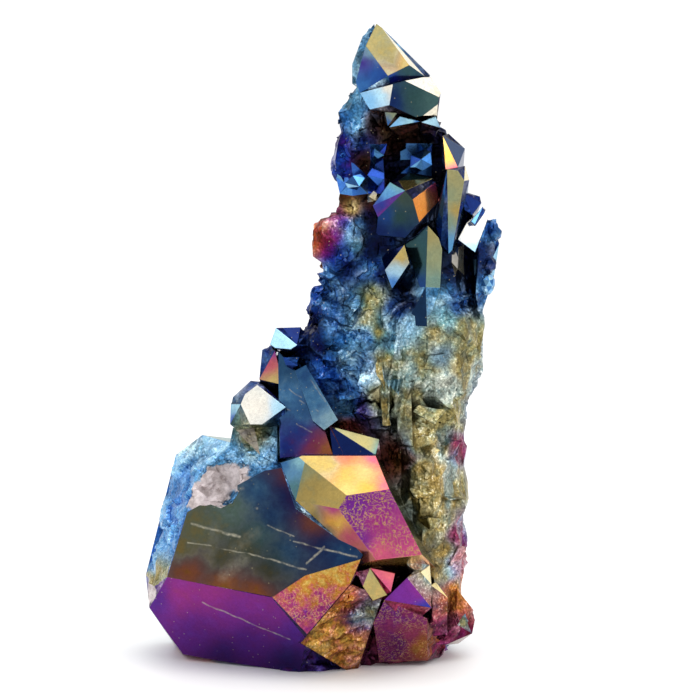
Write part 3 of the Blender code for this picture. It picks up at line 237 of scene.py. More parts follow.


# The faces that can be told apart from in front, from the top down.
# Faces named dark carry painted reflections of the dark room in front, and faces named bright carry painted
# reflections of the lamps, most of them silver at full tone.
CRYSTAL_FACES = (
    face(
        "summit gold", (10.6, 84.6, 0.99, 0.56), (9.5, 87.0, 0.98, 0.6), (13.2, 83.0, 0.12, 0.46),
        (11.0, 81.6, 0.05, 0.36), (11.4, 83.2, 1.0, 0.56), mottled=0.14,
    ),
    face("summit bright side", (15.3, 81.8, 0.02)),
    face("summit dark", (13.2, 81.4, 0.89, 0.14), (12.0, 80.4, 0.58, 0.4)),
    face(
        "summit left", (9.2, 81.2, 0.62, 0.5), (7.5, 83.2, 0.52, 0.55), (10.4, 80.8, 0.6, 0.45),
        (7.2, 79.4, 0.66, 0.55), (8.0, 84.4, 0.84, 0.5), mottled=0.1,
    ),
    face("crest bright", (16.2, 79.8, 0.0), (17.8, 78.4, 0.03)),
    face("crest dark", (14.5, 78.0, 0.89, 0.12), (17.2, 77.6, 0.9, 0.2), (11.6, 77.4, 0.6, 0.14)),
    face("crest left", (10.0, 78.6, 0.81, 0.98), (8.2, 77.6, 0.75, 0.95), (11.0, 79.4, 0.01, 0.92)),
    face("crest right foot", (17.4, 76.3, 0.02, 0.8)),
    face("ring left", (11.4, 75.4, 0.95, 0.5), (11.0, 74.6, 0.66, 0.4)),
    face("ring middle", (14.0, 74.5, 0.84, 0.75), (12.4, 73.4, 0.75, 0.8), (15.0, 74.4, 0.66, 0.6)),
    face("ring right", (17.0, 74.3, 0.82, 0.75), (17.6, 73.0, 0.6, 0.4)),
    face("prism top", (19.6, 69.8, 0.18), (18.9, 71.6, 0.14), (20.3, 68.4, 0.31)),
    face(
        "prism front", (19.9, 64.0, 0.95, 0.85), (20.3, 67.0, 0.97, 0.9), (20.6, 62.4, 1.0, 0.95),
        (19.4, 57.4, 0.73, 0.8), (19.2, 61.0, 0.93, 0.8),
    ),
    face("prism left", (18.6, 61.6, 0.66, 0.45), (18.2, 59.6, 0.6, 0.4)),
    face("prism right", (21.7, 66.6, 0.06, 0.95)),
    face("edge dark", (22.6, 63.2, 0.58, 0.22)),
    face("edge sky", (23.5, 61.3, 0.74, 0.95)),
    face("blade bright", (22.9, 59.0, 0.0), (23.2, 57.0, 0.79, 0.95)),
    face("stub cap", (14.0, 67.0, 0.89, 0.22)),
    face("stub tan", (13.6, 66.0, 0.99, 0.85)),
    face(
        "stub left", (11.0, 64.6, 0.72, 0.75), (11.8, 65.8, 0.88, 0.8), (10.4, 63.2, 0.6, 0.6),
        (10.8, 62.0, 0.44, 0.6),
    ),
    face("stub left low", (10.0, 62.6, 0.58, 0.5), (10.6, 62.0, 0.44, 0.6)),
    face(
        "stub orange", (16.2, 64.4, 0.23), (16.8, 66.2, 0.36, 0.9), (17.7, 65.0, 0.30),
        (15.4, 62.2, 0.24, 0.95),
    ),
    face(
        "stub front", (12.4, 61.2, 0.89, 0.09), (13.2, 64.2, 0.92, 0.12), (12.6, 58.8, 0.6, 0.12),
        (9.8, 59.4, 0.58, 0.12), (10.6, 61.4, 0.62, 0.24),
    ),
    face("blade front", (17.3, 55.4, 0.95, 0.8), (16.8, 59.4, 0.98, 0.8), (17.4, 52.2, 0.92, 0.75)),
    face("blade left", (14.4, 55.4, 0.89, 0.16), (14.4, 51.0, 0.62, 0.3)),
    face("blade foot", (15.2, 48.6, 0.66, 0.08)),
    face(
        "leaning tan", (12.6, 55.6, 1.0), (13.0, 56.8, 0.99), (12.3, 53.6, 0.8, 0.9),
        (11.7, 52.2, 0.66, 0.8),
    ),
    face("leaning dark", (11.0, 56.1, 0.58, 0.22)),
    face("stair sky", (-3.9, 44.4, 0.79)),
    face("stair dark", (-1.6, 44.6, 0.58, 0.22)),
    face("stair dark right", (-0.6, 44.2, 0.6, 0.16)),
    face("stair small", (-2.6, 41.0, 0.6, 0.45)),
    face(
        "stair narrow", (-5.6, 40.6, 0.30, 0.7), (-6.2, 42.6, 0.5, 0.75), (-6.4, 40.8, 0.36, 0.8),
        (-5.2, 38.6, 0.12, 0.6),
    ),
    face("bright front", (-7.0, 34.8, 0.0), (-4.2, 34.6, 0.8, 0.98)),
    face(
        "bright left", (-10.2, 34.4, 0.84, 0.85), (-9.4, 37.0, 0.83, 0.9), (-10.4, 35.8, 0.80, 0.9),
        (-10.2, 33.0, 0.60, 0.7), (-9.4, 32.2, 0.45, 0.75),
    ),
    face("shaft", (-8.4, 29.8, 0.97, 0.35), bare=0.3, worn=0.5),
    face(
        "large plate", (-1.0, 34.0, 0.70, 0.3), (-3.4, 40.0, 0.70, 0.2), (-3.4, 36.0, 0.71, 0.4),
        (-1.4, 31.0, 0.59, 0.34), (-3.4, 29.0, 0.57, 0.3), (0.6, 29.4, 0.36, 0.3), (2.4, 28.6, 0.25, 0.4),
        mottled=0.25, soft=0.8,
    ),
    face(
        "small plate", (0.8, 35.8, 0.72, 0.36), (-1.0, 39.6, 0.68, 0.28), (3.2, 32.8, 0.80, 0.5),
        mottled=0.3,
    ),
    face("ridge", (9.9, 40.0, 0.99, 0.8), (9.6, 44.0, 0.97, 0.75), (10.8, 34.0, 0.98, 0.6), worn=1.0),
    face(
        "smooth face", (12.3, 38.0, 0.84, 0.42), (11.6, 42.0, 0.80, 0.5), (13.2, 31.0, 0.95, 0.4),
        worn=1.0,
    ),
    face("collar dark", (4.6, 29.4, 0.58, 0.18)),
    face("collar tan", (7.8, 29.5, 0.98, 0.75), (9.6, 28.2, 0.9, 0.5)),
    face(
        "gold", (5.0, 25.4, 0.15, 0.58), (0.8, 27.0, 1.0, 0.85), (3.0, 26.8, 1.0, 0.85),
        (5.0, 27.8, 0.27, 0.75), (8.9, 27.4, 0.31, 0.8), (10.6, 23.8, 0.30, 0.9), (8.0, 23.2, 0.18, 0.7),
        (5.2, 22.8, 0.13, 0.62), (7.6, 25.6, 0.12, 0.58), mottled=0.1,
    ),
    face(
        "gold pale side", (-2.6, 25.6, 0.74, 0.42), (-3.6, 26.8, 0.68, 0.42), (-1.6, 27.4, 0.86, 0.8),
        (-2.0, 23.2, 0.88, 0.35), mottled=0.1,
    ),
    face(
        "gold tan side", (0.2, 23.4, 1.0, 0.64), (-0.8, 25.6, 0.96, 0.6), (2.8, 22.0, 1.0, 0.8),
        mottled=0.14,
    ),
    face(
        "gold lower", (2.8, 18.8, 0.20, 0.55), (-0.6, 20.8, 1.0, 0.62), (3.4, 20.6, 0.38, 0.62),
        (5.4, 16.8, 0.32, 0.45), (2.2, 17.2, 0.98, 0.22), (4.2, 18.4, 0.17, 0.6), (0.6, 19.0, 1.0, 0.34),
        mottled=0.12,
    ),
    face(
        "gold violet", (9.6, 18.4, 0.40, 0.85), (6.2, 21.4, 0.46, 0.75), (10.6, 22.2, 0.43, 0.85),
        (13.4, 17.0, 0.38, 0.9), (9.6, 14.4, 0.32, 0.95), (7.2, 15.8, 0.46, 0.75),
        (15.0, 15.0, 0.34, 0.95), etched=1.0, mottled=0.08, soft=0.8,
    ),
    face("gold olive side", (12.4, 21.8, 0.96, 0.4), (15.0, 16.0, 0.97, 0.5)),
    face("step gold", (14.4, 13.5, 0.17), (15.3, 12.6, 0.28)),
    face("step violet", (13.6, 8.4, 0.46, 0.7), (15.4, 9.0, 0.44, 0.75), (16.2, 6.4, 0.56, 0.7)),
    face("step pale", (16.6, 10.6, 0.07, 0.9)),
    face("step yellow", (18.0, 9.0, 0.09), (17.4, 7.6, 0.14)),
    face("stripe", (8.6, 9.6, 0.99, 0.8), (7.2, 11.0, 0.97, 0.8), etched=0.6),
    face("pink", (10.8, 9.6, 0.34, 0.85), (11.6, 11.0, 0.3, 0.95)),
    face(
        "veined", (1.0, 8.4, 0.30, 0.62), (-3.6, 7.6, 0.31, 0.62), (-0.6, 9.8, 0.24, 0.65),
        (3.8, 11.4, 0.2, 0.62), (1.6, 6.2, 0.38, 0.5), (-0.4, 4.4, 0.38, 0.5), worn=0.3, mottled=1.0,
        etched=0.7,
    ),
    face(
        "ledges", (3.2, 4.6, 0.17, 0.95), (0.6, 2.4, 0.17, 0.8), (5.4, 7.6, 0.18, 0.7),
        (3.6, 0.6, 0.23, 0.6), (7.0, 2.4, 0.20, 0.55), (8.2, 6.0, 1.0, 0.4), (1.8, 5.2, 0.20, 0.85),
        (4.6, 6.2, 0.17, 0.85), (4.8, 3.2, 0.16, 0.8), (6.2, 5.0, 1.0, 0.95), worn=1.0, soft=1.4,
    ),
    face("ledges right", (6.8, 3.4, 0.22, 0.7), (8.2, 6.0, 0.98, 0.7), (5.4, 1.2, 0.34, 0.55), worn=1.0),
    face(
        "maroon", (13.2, 4.8, 0.41, 0.4), (12.0, 7.4, 0.44, 0.45), (15.4, 5.0, 0.40, 0.4),
        (12.0, 1.4, 0.43, 0.3), (15.4, 1.6, 0.24, 0.35), (14.4, 3.0, 0.37, 0.38), worn=0.3, mottled=0.35,
        etched=0.45,
    ),
    face("maroon right", (17.2, 3.0, 0.27, 0.4), worn=0.6),
    face("knob", (21.4, 4.6, 0.97, 0.7), (22.6, 5.4, 0.68, 0.7), (20.6, 3.2, 0.3, 0.65), worn=0.7),
    face(
        "block strip", (-19.4, 20.0, 0.71, 0.85), (-17.4, 28.0, 0.75, 0.95), (-20.8, 16.0, 0.72, 0.8),
        (-22.0, 11.4, 0.98, 0.7), worn=0.5, soft=1.0,
    ),
    face("block strip high", (-17.4, 24.6, 0.73, 0.9), (-16.0, 29.0, 0.80, 0.95), worn=0.5),
    face(
        "block strip low", (-21.6, 12.6, 0.74, 0.8), (-20.4, 17.0, 0.73, 0.8), (-22.4, 10.6, 0.98, 0.75),
        worn=0.5,
    ),
    face("block top", (-12.8, 28.6, 0.78, 0.95), (-8.0, 27.6, 0.70, 0.8), worn=0.6),
    face("block top right", (-7.2, 28.0, 0.78, 0.8), worn=0.6),
    face(
        "block front", (-9.0, 15.0, 0.96, 0.13), (-15.8, 17.6, 0.97, 0.26), (-12.6, 13.0, 0.97, 0.13),
        (-10.8, 20.4, 0.93, 0.28), (-7.4, 23.0, 0.70, 0.2), (-5.4, 19.4, 0.64, 0.14),
        (-3.4, 22.6, 0.58, 0.11), (-1.6, 22.0, 0.57, 0.14), (0.6, 18.6, 0.25, 0.2),
        (-2.4, 25.0, 0.26, 0.16), (-3.4, 14.4, 0.68, 0.18), (1.6, 15.6, 0.62, 0.12),
        (-17.0, 12.0, 0.25, 0.24), (-12.0, 10.4, 0.23, 0.30), (-7.4, 9.0, 0.24, 0.26),
        (-17.6, 14.4, 0.99, 0.26), (-6.0, 11.6, 0.97, 0.09), (-7.0, 17.0, 0.88, 0.15),
        (4.6, 14.4, 0.66, 0.16), (-4.4, 14.0, 0.9, 0.08), mottled=0.26, soft=1.2,
    ),
    face(
        "block bottom", (-11.0, 5.4, 0.45, 0.60), (-18.6, 8.4, 0.41, 0.66), (-13.6, 8.6, 0.42, 0.66),
        (-8.0, 7.6, 0.44, 0.62), (-4.6, 6.0, 0.44, 0.55), (-2.0, 3.4, 0.49, 0.5), (-9.0, 2.2, 0.48, 0.42),
        (-16.4, 3.4, 0.47, 0.5), (-3.0, -0.6, 0.52, 0.2), (-12.0, 0.2, 0.50, 0.26),
        (-21.0, 8.0, 0.50, 0.5), mottled=0.12, soft=1.5,
    ),
)


@dataclass(frozen=True)
class Bed:
    """A patch, seen from in front, where even small flat faces are crystals that share a film."""

    across: float
    rise: float
    reach: float
    film: float
    tone: float
    vary: float = 0.12


# A bed's tone is painted light and shade too: how brightly its faces mirror the room.
BEDS = (
    Bed(9.3, 70.4, 1.5, 0.65, 0.7), Bed(9.2, 67.0, 1.7, 0.60, 0.75), Bed(6.2, 66.2, 1.7, 0.70, 0.8),
    Bed(15.4, 69.4, 2.0, 0.66, 0.75), Bed(8.8, 64.4, 0.9, 0.0, 0.9), Bed(21.2, 69.6, 1.4, 0.62, 0.25),
    Bed(4.4, 69.4, 1.4, 0.62, 0.6), Bed(24.6, 54.8, 1.6, 0.74, 0.7), Bed(24.6, 52.0, 1.6, 0.74, 0.8),
    Bed(21.0, 55.2, 1.4, 0.0, 0.8, 0.05), Bed(25.0, 59.4, 1.4, 0.72, 0.85),
)

# Places on the rough stone, from the top down. Deep gaps get painted shade: a tone near zero.
ROUGH_PLACES = (
    Stop(6.2, 82.0, 0.79, 0.6), Stop(4.9, 78.0, 0.80, 0.8), Stop(4.6, 74.6, 0.74, 0.6),
    Stop(6.6, 74.2, 0.80, 0.95), Stop(3.8, 72.4, 0.5, 0.6), Stop(7.4, 72.0, 0.6, 0.2),
    Stop(8.4, 74.0, 0.25, 0.03), Stop(7.4, 69.0, 0.25, 0.03), Stop(11.6, 71.5, 0.24, 0.03),
    Stop(14.0, 72.0, 0.25, 0.03), Stop(17.8, 70.0, 0.6, 0.05), Stop(12.6, 68.6, 0.6, 0.05),
    Stop(10.6, 73.6, 0.24, 0.04), Stop(3.6, 70.0, 0.64, 0.7), Stop(4.4, 67.4, 0.6, 0.5),
    Stop(8.0, 65.0, 0.25, 0.04), Stop(8.6, 62.6, 0.25, 0.05), Stop(4.6, 64.2, 0.24, 0.08),
    Stop(0.6, 57.6, 0.22, 0.75), Stop(1.4, 60.0, 0.26, 0.7), Stop(2.4, 58.4, 0.37, 0.6),
    Stop(2.6, 56.4, 0.44, 0.55), Stop(3.4, 61.6, 0.38, 0.6), Stop(3.8, 58.8, 0.44, 0.6),
    Stop(4.8, 60.6, 0.52, 0.6), Stop(5.0, 56.6, 0.62, 0.6), Stop(5.8, 62.4, 0.06, 0.8),
    Stop(5.6, 58.6, 0.74, 0.75), Stop(6.2, 57.2, 0.88, 0.55), Stop(6.2, 60.0, 0.78, 0.85),
    Stop(8.0, 61.8, 0.6, 0.06), Stop(8.0, 58.6, 0.6, 0.06), Stop(7.6, 55.9, 0.62, 0.1),
    Stop(5.4, 54.2, 0.60, 0.2), Stop(3.6, 55.0, 0.68, 0.65), Stop(8.6, 59.6, 0.6, 0.06),
    Stop(9.2, 57.2, 0.6, 0.07), Stop(8.6, 55.6, 0.62, 0.14), Stop(10.2, 53.2, 0.6, 0.12),
    Stop(8.6, 61.6, 0.6, 0.06), Stop(0.0, 54.0, 0.24, 0.35), Stop(2.4, 53.3, 0.75, 0.9),
    Stop(8.4, 54.6, 0.72, 0.6), Stop(20.4, 54.0, 0.6, 0.1), Stop(22.4, 53.6, 0.6, 0.12),
    Stop(25.6, 58.6, 0.7, 0.7), Stop(24.8, 57.0, 0.6, 0.15), Stop(25.2, 54.4, 0.6, 0.2),
    Stop(23.6, 65.6, 0.62, 0.3), Stop(24.8, 51.4, 0.74, 0.7), Stop(0.2, 50.0, 0.68, 0.95),
    Stop(3.2, 48.4, 0.70, 0.8), Stop(6.0, 48.6, 0.78, 1.0), Stop(9.0, 50.0, 0.97, 0.95),
    Stop(0.4, 46.4, 0.6, 0.1), Stop(3.6, 44.0, 0.75, 0.95), Stop(7.8, 47.4, 0.98, 0.95),
    Stop(5.2, 42.0, 0.79, 0.78), Stop(1.4, 43.2, 0.6, 0.12), Stop(9.4, 45.2, 0.98, 0.8),
    Stop(8.0, 44.6, 0.75, 0.85), Stop(10.8, 46.6, 0.79, 0.55), Stop(11.0, 44.0, 0.8, 0.6),
    Stop(6.6, 43.4, 0.79, 0.95), Stop(3.0, 40.0, 0.70, 0.9), Stop(6.4, 39.4, 0.76, 0.85),
    Stop(9.8, 41.4, 0.98, 0.85), Stop(8.2, 41.0, 0.70, 0.7), Stop(4.6, 37.6, 0.72, 0.9),
    Stop(5.6, 34.8, 0.79, 0.7), Stop(7.0, 34.6, 0.5, 0.35), Stop(9.4, 36.0, 0.97, 0.6),
    Stop(5.4, 32.0, 0.25, 0.15), Stop(12.0, 48.4, 0.66, 0.5), Stop(13.2, 51.0, 0.62, 0.1),
    Stop(14.6, 49.4, 0.6, 0.1), Stop(12.8, 49.4, 0.62, 0.14), Stop(16.0, 50.6, 0.78, 0.8),
    Stop(14.0, 46.4, 0.79, 0.7), Stop(17.6, 50.2, 0.79, 0.85), Stop(21.0, 49.0, 0.68, 0.55),
    Stop(21.6, 46.0, 0.97, 0.7), Stop(17.6, 45.0, 0.98, 0.7), Stop(19.0, 47.0, 0.86, 0.7),
    Stop(15.0, 41.0, 0.97, 0.66), Stop(18.4, 41.6, 0.79, 0.3), Stop(21.0, 41.0, 0.98, 0.72),
    Stop(22.6, 43.0, 0.97, 0.72), Stop(16.0, 35.6, 0.97, 0.7), Stop(19.4, 37.6, 0.99, 0.5),
    Stop(17.2, 38.6, 0.97, 0.68), Stop(20.0, 35.0, 0.97, 0.72), Stop(22.0, 33.0, 0.98, 0.85),
    Stop(17.6, 33.0, 0.97, 0.85), Stop(13.0, 27.4, 0.25, 0.14), Stop(15.6, 29.6, 0.98, 0.9),
    Stop(18.4, 29.0, 1.0, 0.95), Stop(20.8, 29.0, 0.35, 0.42), Stop(15.4, 25.6, 0.99, 0.9),
    Stop(16.8, 22.0, 0.99, 0.95), Stop(20.6, 23.6, 0.98, 0.65), Stop(18.6, 25.0, 1.0, 0.85),
    Stop(16.2, 18.6, 0.98, 0.8), Stop(18.6, 18.4, 0.99, 0.9), Stop(20.8, 17.0, 0.34, 0.48),
    Stop(18.8, 14.6, 0.99, 0.8), Stop(18.6, 11.6, 0.99, 0.85), Stop(20.6, 9.4, 0.22, 0.8),
    Stop(20.8, 12.8, 0.30, 0.7), Stop(19.4, 2.0, 0.38, 0.5), Stop(-5.0, 37.0, 0.6, 0.3),
    Stop(-6.0, 27.2, 0.78, 0.85), Stop(-3.8, 26.8, 0.74, 0.7), Stop(-2.6, 46.6, 0.62, 0.3),
    Stop(-8.4, 30.2, 0.97, 0.4), Stop(-10.6, 28.2, 0.78, 0.9), Stop(-20.0, 20.0, 0.72, 0.8),
    Stop(0.0, 0.0, 0.5, 0.3), Stop(-18.0, 4.0, 0.45, 0.5), Stop(12.0, 6.0, 0.34, 0.55),
)


@dataclass(frozen=True)
class Scratch:
    """A thin scratch on a crystal face, from one place to another as seen from in front."""

    start: tuple[float, float]
    end: tuple[float, float]
    width: float = 0.16
    strength: float = 0.7


# The long ones cross the front of the block, and the wide faint ones are rubbed patches.
SCRATCHES = (
    Scratch((-16.5, 18.4), (-9.9, 16.5), 0.26, 0.8), Scratch((-17.0, 15.7), (-8.6, 14.2), 0.16, 0.8),
    Scratch((-8.6, 14.2), (-0.4, 11.9), 0.18, 0.85), Scratch((-5.9, 18.1), (-2.2, 16.6), 0.14, 0.55),
    Scratch((-2.2, 15.8), (6.6, 13.7), 0.18, 0.8), Scratch((2.0, 15.1), (-0.4, 12.8), 0.22, 0.8),
    Scratch((-0.4, 12.8), (0.1, 10.9), 0.16, 0.6), Scratch((-12.0, 21.8), (-7.4, 20.6), 0.22, 0.8),
    Scratch((-9.4, 13.4), (-12.0, 11.1), 1.3, 0.24), Scratch((-7.6, 17.1), (-10.4, 14.8), 1.2, 0.14),
    Scratch((-13.4, 18.0), (-14.0, 13.0), 1.1, 0.08), Scratch((-15.0, 7.3), (-8.0, 4.3), 0.2, 0.55),
    Scratch((-2.9, 37.2), (-1.1, 36.0), 0.14, 0.5), Scratch((-1.4, 35.6), (1.1, 34.0), 0.16, 0.5),
    Scratch((0.0, 38.5), (2.2, 35.4), 0.14, 0.4), Scratch((-1.8, 32.2), (0.3, 31.2), 0.14, 0.4),
    Scratch((-3.2, 34.4), (-1.2, 33.2), 0.12, 0.4), Scratch((-8.0, 4.3), (-2.9, 2.2), 0.18, 0.5),
    Scratch((-12.4, 22.6), (-9.4, 23.2), 0.4, 0.3),
)


Line = tuple[Vector, Vector, Scratch]


def add_node(
    tree: Tree, kind: str, links: dict[int | str, object] | None = None, **settings: object
) -> bpy.types.Node:
    """Adds a node with its settings and links.

    Args:
        tree: the node tree.
        kind: the node's type name.
        links: input to the output socket, or to the value, that it takes.
        settings: the node's own properties.

    Returns:
        The node.
    """
    made = tree.nodes.new(kind)
    for name, value in settings.items():
        setattr(made, name, value)
    for key, value in (links or {}).items():
        if isinstance(value, bpy.types.NodeSocket):
            tree.links.new(value, made.inputs[key])
        else:
            made.inputs[key].default_value = value
    return made


@dataclass(frozen=True)
class TitaniumFilm:
    """Titanium vapour film on quartz: a mirror whose colour follows the film's thickness."""

    metallic: float = 0.92
    face_gloss: float = 0.16
    rough_gloss: float = 0.36
    quartz_gloss: float = 0.38
    quartz_ior: float = 1.54
    mottle_mm: float = 1.6
    speck_mm: float = 0.35
    mark_mm: float = 0.5
    crowd_mm: float = 3.2
    dust_mm: float = 0.75
    bend_mm: float = 2.4
    stray_mm: float = 0.7
    faint_mm: float = 0.6
    cloud_mm: float = 2.2
    grit_mm: float = 0.12
    edge_mm: float = 0.14
    etched_tan: str = "C8A15E"
    rubbed_grey: str = "BDB8A4"
    dust: str = "BFB28C"
    # Pale colour of the painted glints.
    painted_glint: str = "E2E0D2"
    cleft_grey: str = "8E7F7C"
    milky_pink: str = "E6DADB"

    def make(self, lines: list[Line]) -> bpy.types.Material:
        """Builds the material.

        Args:
            lines: both ends of each scratch, in metres, and the scratch.

        Returns:
            The material.
        """
        # Vapour settles as a thin hard mirror. On a grown face it is clear and glossy and its colours run
        # smoothly, and on broken stone it changes colour in many small grains, some with painted glints of
        # pale colour.
        made = bpy.data.materials.new("titanium film on quartz")
        made.use_nodes = True
        tree = made.node_tree
        tree.nodes.clear()
        place = add_node(tree, "ShaderNodeTexCoord").outputs["Object"]
        film, tone, rough, etched, bare, mottled = (
            add_node(tree, "ShaderNodeAttribute", attribute_name=name).outputs["Fac"]
            for name in ("film", "tone", "rough", "etched", "bare", "mottled")
        )
        mottle = self.noise(tree, place, self.mottle_mm, 4.0)
        speck = self.noise(tree, place, self.speck_mm, 2.0)
        marks = {0: self.growth_marks(tree, place), 1: etched}
        marked = add_node(tree, "ShaderNodeMath", marks, operation="MULTIPLY").outputs[0]
        colour = self.tint(tree, film, tone, mottle, mottled)
        for share, code in (
            (marked, self.etched_tan),
            (self.scratches(tree, place, lines), self.rubbed_grey),
            (self.specks(tree, place), self.dust),
            # Painted glints: pale colour mixed in on random grains of rough stone.
            (self.painted_glints(tree, speck, tone, rough), self.painted_glint),
        ):
            parts = {"Factor": share, 6: colour, 7: linear(code)}
            colour = add_node(tree, "ShaderNodeMix", parts, data_type="RGBA").outputs[2]
        clouded = {0: colour, 1: self.clouding(tree, speck, mottle, rough)}
        colour = add_node(tree, "ShaderNodeVectorMath", clouded, operation="MULTIPLY").outputs[0]
        spread = {"Value": rough, "To Min": self.face_gloss, "To Max": self.rough_gloss}
        gloss = add_node(tree, "ShaderNodeMapRange", spread).outputs["Result"]
        normal = self.relief(tree, speck, rough)
        coat = add_node(
            tree, "ShaderNodeBsdfPrincipled",
            {"Base Color": colour, "Metallic": self.metallic, "Roughness": gloss, "Normal": normal},
        ).outputs["BSDF"]
        milky = self.broken_quartz(tree, place)
        quartz = add_node(
            tree, "ShaderNodeBsdfPrincipled",
            {"Base Color": milky, "Roughness": self.quartz_gloss, "IOR": self.quartz_ior, "Normal": normal},
        ).outputs["BSDF"]
        both = add_node(tree, "ShaderNodeMixShader", {0: bare, 1: coat, 2: quartz}).outputs["Shader"]
        add_node(tree, "ShaderNodeOutputMaterial", {"Surface": both})
        return made

    def noise(self, tree: Tree, place: Socket, size: float, detail: float) -> Socket:
        """A noise whose blotches are about a size across.

        Args:
            tree: the node tree.
            place: the coordinates.
            size: the size in millimetres.
            detail: how many finer layers it has.

        Returns:
            The noise, about one half on average.
        """
        settings = {"Vector": place, "Scale": 1.0 / (size * MM), "Detail": detail, "Roughness": 0.6}
        return add_node(tree, "ShaderNodeTexNoise", settings).outputs["Fac"]

    def fill(self, ramp: bpy.types.ColorRamp) -> None:
        """Sets the film colours on a ramp.

        Args:
            ramp: the ramp to fill.
        """
        items = list(FILM_COLOURS.items())
        for element, (film, code) in zip(ramp.elements, (items[0], items[-1])):
            element.position = float(film)
            element.color = linear(code)
        for film, code in items[1:-1]:
            ramp.elements.new(float(film)).color = linear(code)

    def tint(self, tree: Tree, film: Socket, tone: Socket, mottle: Socket, mottled: Socket) -> Socket:
        """The film's own colour, with another one in blotches.

        Args:
            tree: the node tree.
            film: how thick the film is.
            tone: how bright it is.
            mottle: the noise of the blotches.
            mottled: how far they show.

        Returns:
            The colour.
        """
        # The thickness wanders over a millimetre or two, so rough stone changes colour from chip to chip.
        wander = {0: mottle, 1: 0.55, 2: -0.275}
        shift = add_node(tree, "ShaderNodeMath", wander, operation="MULTIPLY_ADD").outputs[0]
        thick = add_node(tree, "ShaderNodeMath", {0: film, 1: shift}, operation="ADD").outputs[0]
        ramp = add_node(tree, "ShaderNodeValToRGB", {"Fac": thick})
        self.fill(ramp.color_ramp)
        blotch = {0: ramp.outputs["Color"], 1: tone}
        wild = add_node(tree, "ShaderNodeVectorMath", blotch, operation="MULTIPLY").outputs[0]
        base = add_node(tree, "ShaderNodeAttribute", attribute_name="colour").outputs["Color"]
        parts = {"Factor": mottled, 6: base, 7: wild}
        return add_node(tree, "ShaderNodeMix", parts, data_type="RGBA").outputs[2]

    def painted_glints(self, tree: Tree, speck: Socket, tone: Socket, rough: Socket) -> Socket:
        """Painted glints: pale colour on random grains of broken stone, as if they faced the light, left
        out where the tone is dark.

        Args:
            tree: the node tree.
            speck: the noise of the grains.
            tone: how bright the film is.
            rough: how rough the stone is.

        Returns:
            Up to one on a glint and zero elsewhere.
        """
        turned = {"Value": speck, "From Min": 0.57, "From Max": 0.68}
        lit = add_node(tree, "ShaderNodeMapRange", turned).outputs["Result"]
        light = {"Value": tone, "From Min": 0.45, "To Max": 0.7}
        bright = add_node(tree, "ShaderNodeMapRange", light).outputs["Result"]
        grain = add_node(tree, "ShaderNodeMath", {0: rough, 1: bright}, operation="MULTIPLY").outputs[0]
        return add_node(tree, "ShaderNodeMath", {0: lit, 1: grain}, operation="MULTIPLY").outputs[0]

    def clouding(self, tree: Tree, speck: Socket, mottle: Socket, rough: Socket) -> Socket:
        """How bright each grain is. Even the smooth faces are a little cloudy.

        Args:
            tree: the node tree.
            speck: the noise of the grains.
            mottle: the noise of the clouds.
            rough: how rough the stone is.

        Returns:
            A factor about one.
        """
        contrast = {"Value": rough, "To Min": 0.45, "To Max": 2.7}
        deep = add_node(tree, "ShaderNodeMapRange", contrast).outputs["Result"]
        about = add_node(tree, "ShaderNodeMath", {0: speck, 1: 0.5}, operation="SUBTRACT").outputs[0]
        grain = {0: about, 1: deep, 2: 1.0}
        swell = add_node(tree, "ShaderNodeMath", grain, operation="MULTIPLY_ADD").outputs[0]
        cloud = {0: mottle, 1: 0.5, 2: 0.75}
        cloudy = add_node(tree, "ShaderNodeMath", cloud, operation="MULTIPLY_ADD").outputs[0]
        return add_node(tree, "ShaderNodeMath", {0: swell, 1: cloudy}, operation="MULTIPLY").outputs[0]

    def relief(self, tree: Tree, speck: Socket, rough: Socket) -> Socket:
        """Grit on the rough stone and rounded edges.

        Args:
            tree: the node tree.
            speck: the noise of the grains.
            rough: how rough the stone is.

        Returns:
            The normal.
        """
        grit = add_node(tree, "ShaderNodeMath", {0: rough, 1: 0.5}, operation="MULTIPLY").outputs[0]
        # Real crystal edges are a tenth of a millimetre round and catch a thin line of light.
        edge = add_node(tree, "ShaderNodeBevel", {"Radius": self.edge_mm * MM}, samples=4).outputs["Normal"]
        settings = {"Strength": grit, "Distance": self.grit_mm * MM, "Height": speck, "Normal": edge}
        return add_node(tree, "ShaderNodeBump", settings).outputs["Normal"]

    def growth_marks(self, tree: Tree, place: Socket) -> Socket:
        """Thin curled lines and dots where the crystal face was etched.

        Args:
            tree: the node tree.
            place: the coordinates.

        Returns:
            One on a mark and zero elsewhere.
        """
        settings = {"Vector": place, "Scale": 1.0 / (self.mark_mm * MM), "Detail": 3.0}
        bend = add_node(tree, "ShaderNodeTexNoise", settings).outputs["Fac"]
        off = add_node(tree, "ShaderNodeMath", {0: bend, 1: 0.5}, operation="SUBTRACT").outputs[0]
        width = add_node(tree, "ShaderNodeMath", {0: off}, operation="ABSOLUTE").outputs[0]
        narrow = {"Value": width, "From Min": 0.010, "From Max": 0.036, "To Min": 1.0, "To Max": 0.0}
        thin = add_node(tree, "ShaderNodeMapRange", narrow).outputs["Result"]
        crowded = self.noise(tree, place, self.crowd_mm, 1.0)
        some = {"Value": crowded, "From Min": 0.33, "From Max": 0.5}
        crowd = add_node(tree, "ShaderNodeMapRange", some).outputs["Result"]
        return add_node(tree, "ShaderNodeMath", {0: thin, 1: crowd}, operation="MULTIPLY").outputs[0]

